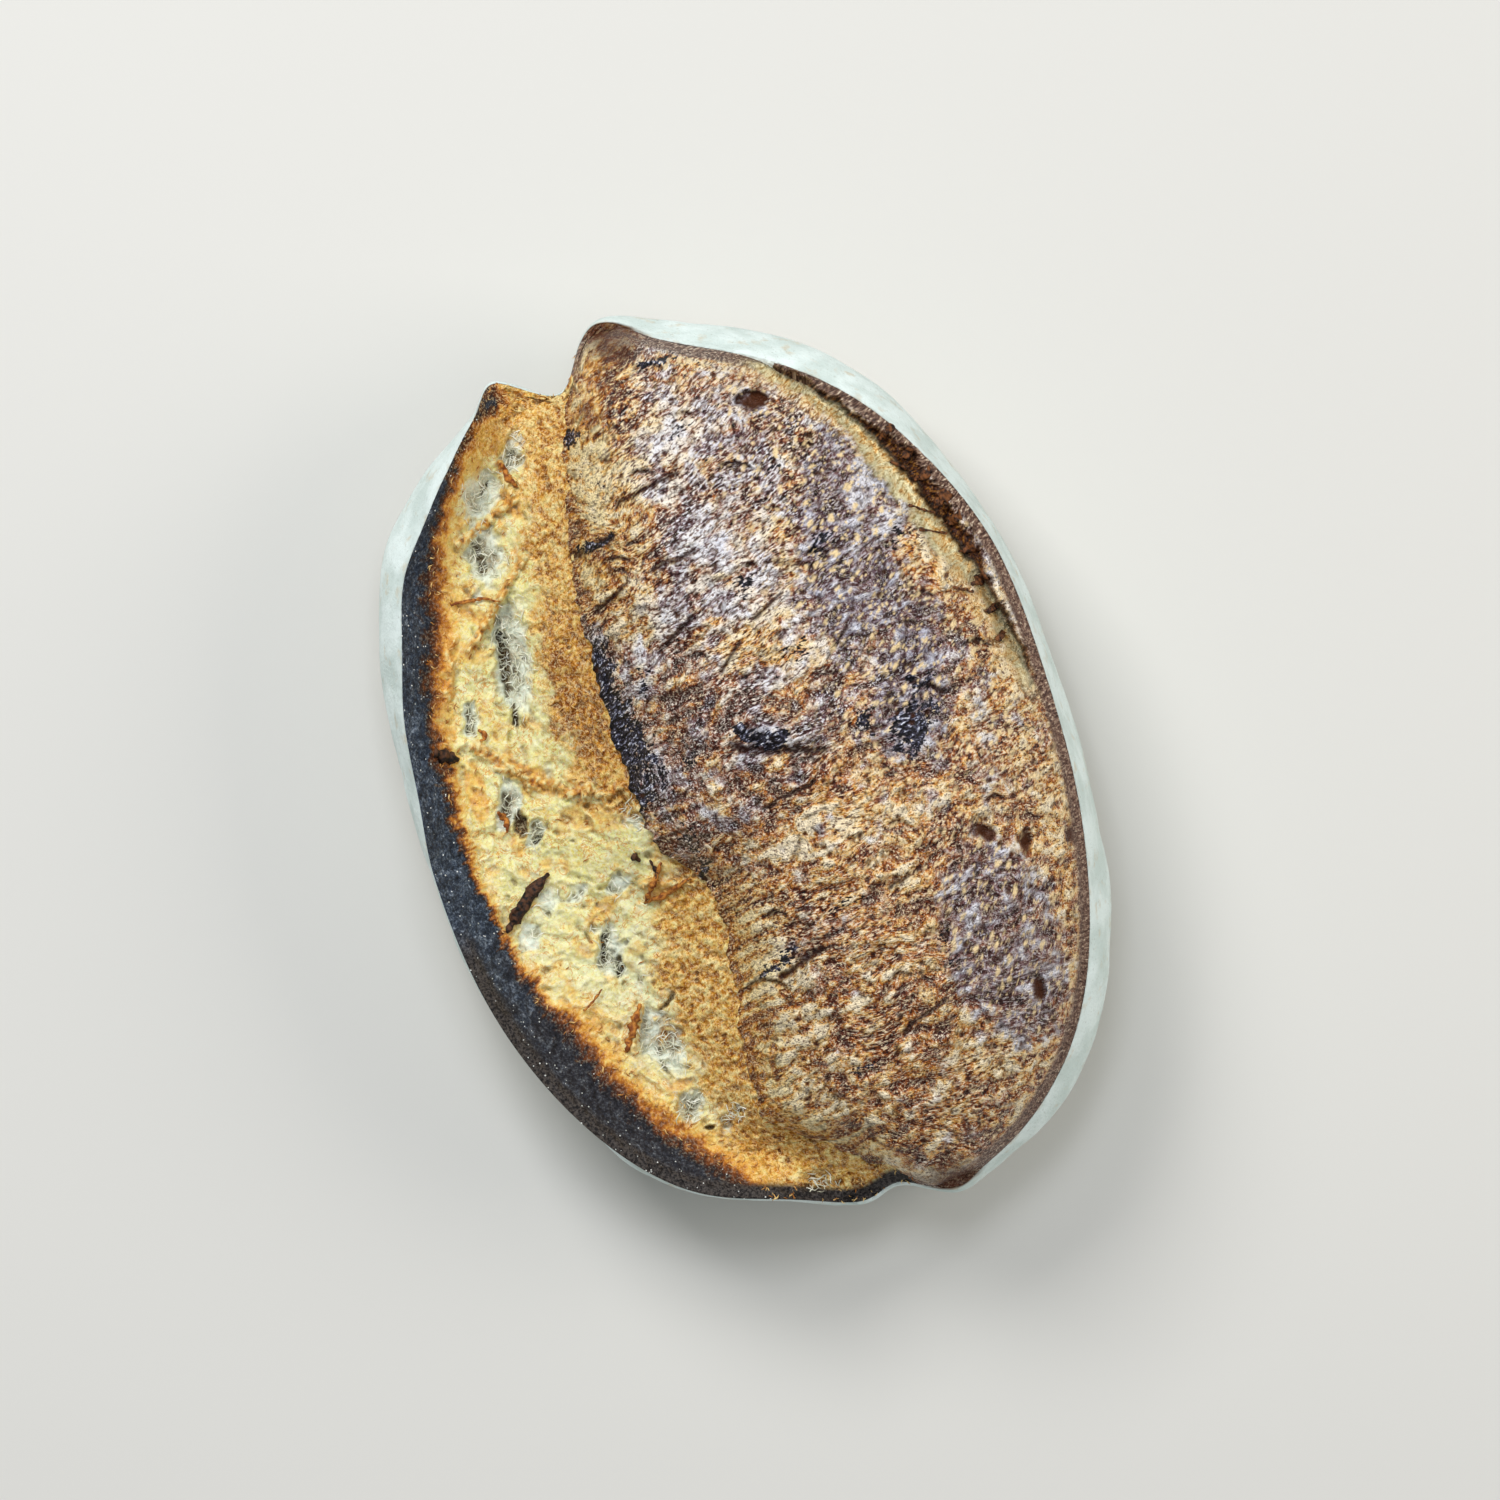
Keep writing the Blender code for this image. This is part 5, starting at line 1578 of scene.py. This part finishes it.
class LOAF_OT_grains(bpy.types.Operator):
    """Scatter grains of flour on the charred ear"""

    bl_idname = "loaf.grains"
    bl_label = "Flour grains"

    def execute(self, context):
        shape = context.scene.loaf_shape
        ball = bmesh.new()
        bmesh.ops.create_icosphere(ball, subdivisions=1, radius=0.5)
        mesh = bpy.data.meshes.new("grain")
        ball.to_mesh(mesh)
        ball.free()
        grain = bpy.data.objects.new("grain", mesh)
        flour = plain_bread("flour_grain", "#B9BDB6", "#F4F6F2")
        number = shape.grains
        made = scattered(
            "flour_grains", "torn_crumb", grain, "char", number, GRAIN_SIZES, GRAIN_TILT, flour, GRAIN_SEED
        )
        settle(made, flour)
        return {"FINISHED"}


class LOAF_OT_fibres(bpy.types.Operator):
    """Scatter torn fibres over the toasted crumb"""

    bl_idname = "loaf.fibres"
    bl_label = "Torn fibres"

    def execute(self, context):
        shape = context.scene.loaf_shape
        # A strand a metre long, which the scatter brings down to its real size
        bend = np.linspace(-1, 1, 5)
        path = np.stack([bend * 500, 260 * bend**3 - 120 * bend, 260 * (1 - bend**2) - 60], axis=-1)
        for name, widths, thick, mask, count, sizes, tilt, bread, low, high, seed in STRAND_KINDS:
            points, faces = thread_piece(path, widths, thick, sides=4)
            strand = mesh_object(bread, points, faces)
            context.scene.collection.objects.unlink(strand)
            looks = plain_bread(bread, low, high, STRAND_GRAIN)
            number = getattr(shape, count)
            settle(scattered(name, "torn_crumb", strand, mask, number, sizes, tilt, looks, seed), looks)
        return {"FINISHED"}


class LOAF_OT_shreds(bpy.types.Operator):
    """Lay the loose charred and toasted shreds on the crumb and in the crack"""

    bl_idname = "loaf.shreds"
    bl_label = "Loose shreds"

    def execute(self, context):
        seed = SHRED_SEED
        for name, ground, low, high, shreds in SHRED_KINDS:
            corners = surface_points(ground)
            pieces = []
            for places, widths, thick, lift, sway in shreds:
                path = drape(corners, curve_through(places, SHRED_STEPS, sway, seed), lift)
                pieces.append(thread_piece(path, widths, thick, ragged=SHRED_RAGGED))
                seed += SHRED_SEED_STEP
            settle(joined(name, pieces), plain_bread(name, low, high))
        return {"FINISHED"}


def lay_floor():
    """A wide, matt, pale floor under the loaf."""
    sides = ((-1, -1), (1, -1), (1, 1), (-1, 1))
    corners = [(s * FLOOR_REACH, t * FLOOR_REACH, -FLOOR_DROP) for s, t in sides]
    floor = mesh_object("floor", corners, [[(0, 1, 2, 3)]])
    paper = bpy.data.materials.new("pale_floor")
    paper.use_nodes = True
    inputs = paper.node_tree.nodes["Principled BSDF"].inputs
    inputs["Base Color"].default_value = (*colour(FLOOR_COLOUR), 1)
    inputs["Roughness"].default_value = FLOOR_ROUGHNESS
    floor.data.materials.append(paper)


def light_room(scene):
    """A pale room, and the soft lights aimed at the loaf."""
    scene.world = scene.world or bpy.data.worlds.new("room")
    scene.world.use_nodes = True
    sky = scene.world.node_tree.nodes["Background"]
    sky.inputs["Color"].default_value = (*colour(ROOM_COLOUR), 1)
    sky.inputs["Strength"].default_value = ROOM_LIGHT
    for name, place, size, power, tint in LIGHTS:
        lamp = bpy.data.lights.new(name, "AREA")
        lamp.shape = "RECTANGLE"
        lamp.size, lamp.size_y = size
        lamp.energy = power
        lamp.color = colour(tint)
        light = bpy.data.objects.new(name, lamp)
        light.location = place
        light.rotation_euler = (Vector(LIGHT_AIM) - light.location).to_track_quat("-Z", "Y").to_euler()
        scene.collection.objects.link(light)


def set_camera(scene):
    """The camera straight above the loaf, at the photograph's scale halfway up the loaf."""
    lens = bpy.data.cameras.new("camera")
    lens.sensor_width = SENSOR_WIDTH
    lens.lens = SENSOR_WIDTH * (CAMERA_HEIGHT - SCALE_HEIGHT) / (PICTURE_PIXELS / PIXELS_PER_MM * MM)
    lens.clip_end = FARTHEST_SEEN
    camera = bpy.data.objects.new("camera", lens)
    camera.location = (VIEW_CENTRE[0] * MM, VIEW_CENTRE[1] * MM, CAMERA_HEIGHT)
    camera.rotation_euler = (0, 0, -math.radians(CAMERA_ROLL))
    scene.collection.objects.link(camera)
    scene.camera = camera
    scene.view_settings.view_transform = "Standard"


class LOAF_OT_stage(bpy.types.Operator):
    """Set the floor, the soft lights and the camera"""

    bl_idname = "loaf.stage"
    bl_label = "Stage"

    def execute(self, context):
        lay_floor()
        light_room(context.scene)
        set_camera(context.scene)
        return {"FINISHED"}


class LOAF_PT_panel(bpy.types.Panel):
    """Lists the loaf's sizes, colours and pieces"""

    bl_idname = "LOAF_PT_panel"
    bl_label = "Sourdough loaf"
    bl_space_type = "VIEW_3D"
    bl_region_type = "UI"
    bl_category = "Loaf"

    def draw(self, context):
        for group in (context.scene.loaf_shape, context.scene.loaf_looks):
            for name in group.__annotations__:
                self.layout.prop(group, name)
        for piece in PIECES:
            self.layout.operator(piece.bl_idname)


PIECES = (
    LOAF_OT_skin, LOAF_OT_crumb, LOAF_OT_crust, LOAF_OT_grains, LOAF_OT_fibres, LOAF_OT_shreds, LOAF_OT_stage,
)
GROUPS = (LoafShape, LoafLooks)


def register():
    for kind in (*GROUPS, *PIECES, LOAF_PT_panel):
        bpy.utils.register_class(kind)
    bpy.types.Scene.loaf_shape = PointerProperty(type=LoafShape)
    bpy.types.Scene.loaf_looks = PointerProperty(type=LoafLooks)


def unregister():
    del bpy.types.Scene.loaf_shape
    del bpy.types.Scene.loaf_looks
    for kind in reversed((*GROUPS, *PIECES, LOAF_PT_panel)):
        bpy.utils.unregister_class(kind)


def main():
    register()
    for piece in PIECES:
        getattr(bpy.ops.loaf, piece.bl_idname.split(".")[1])()


if __name__ == "__main__":
    main()
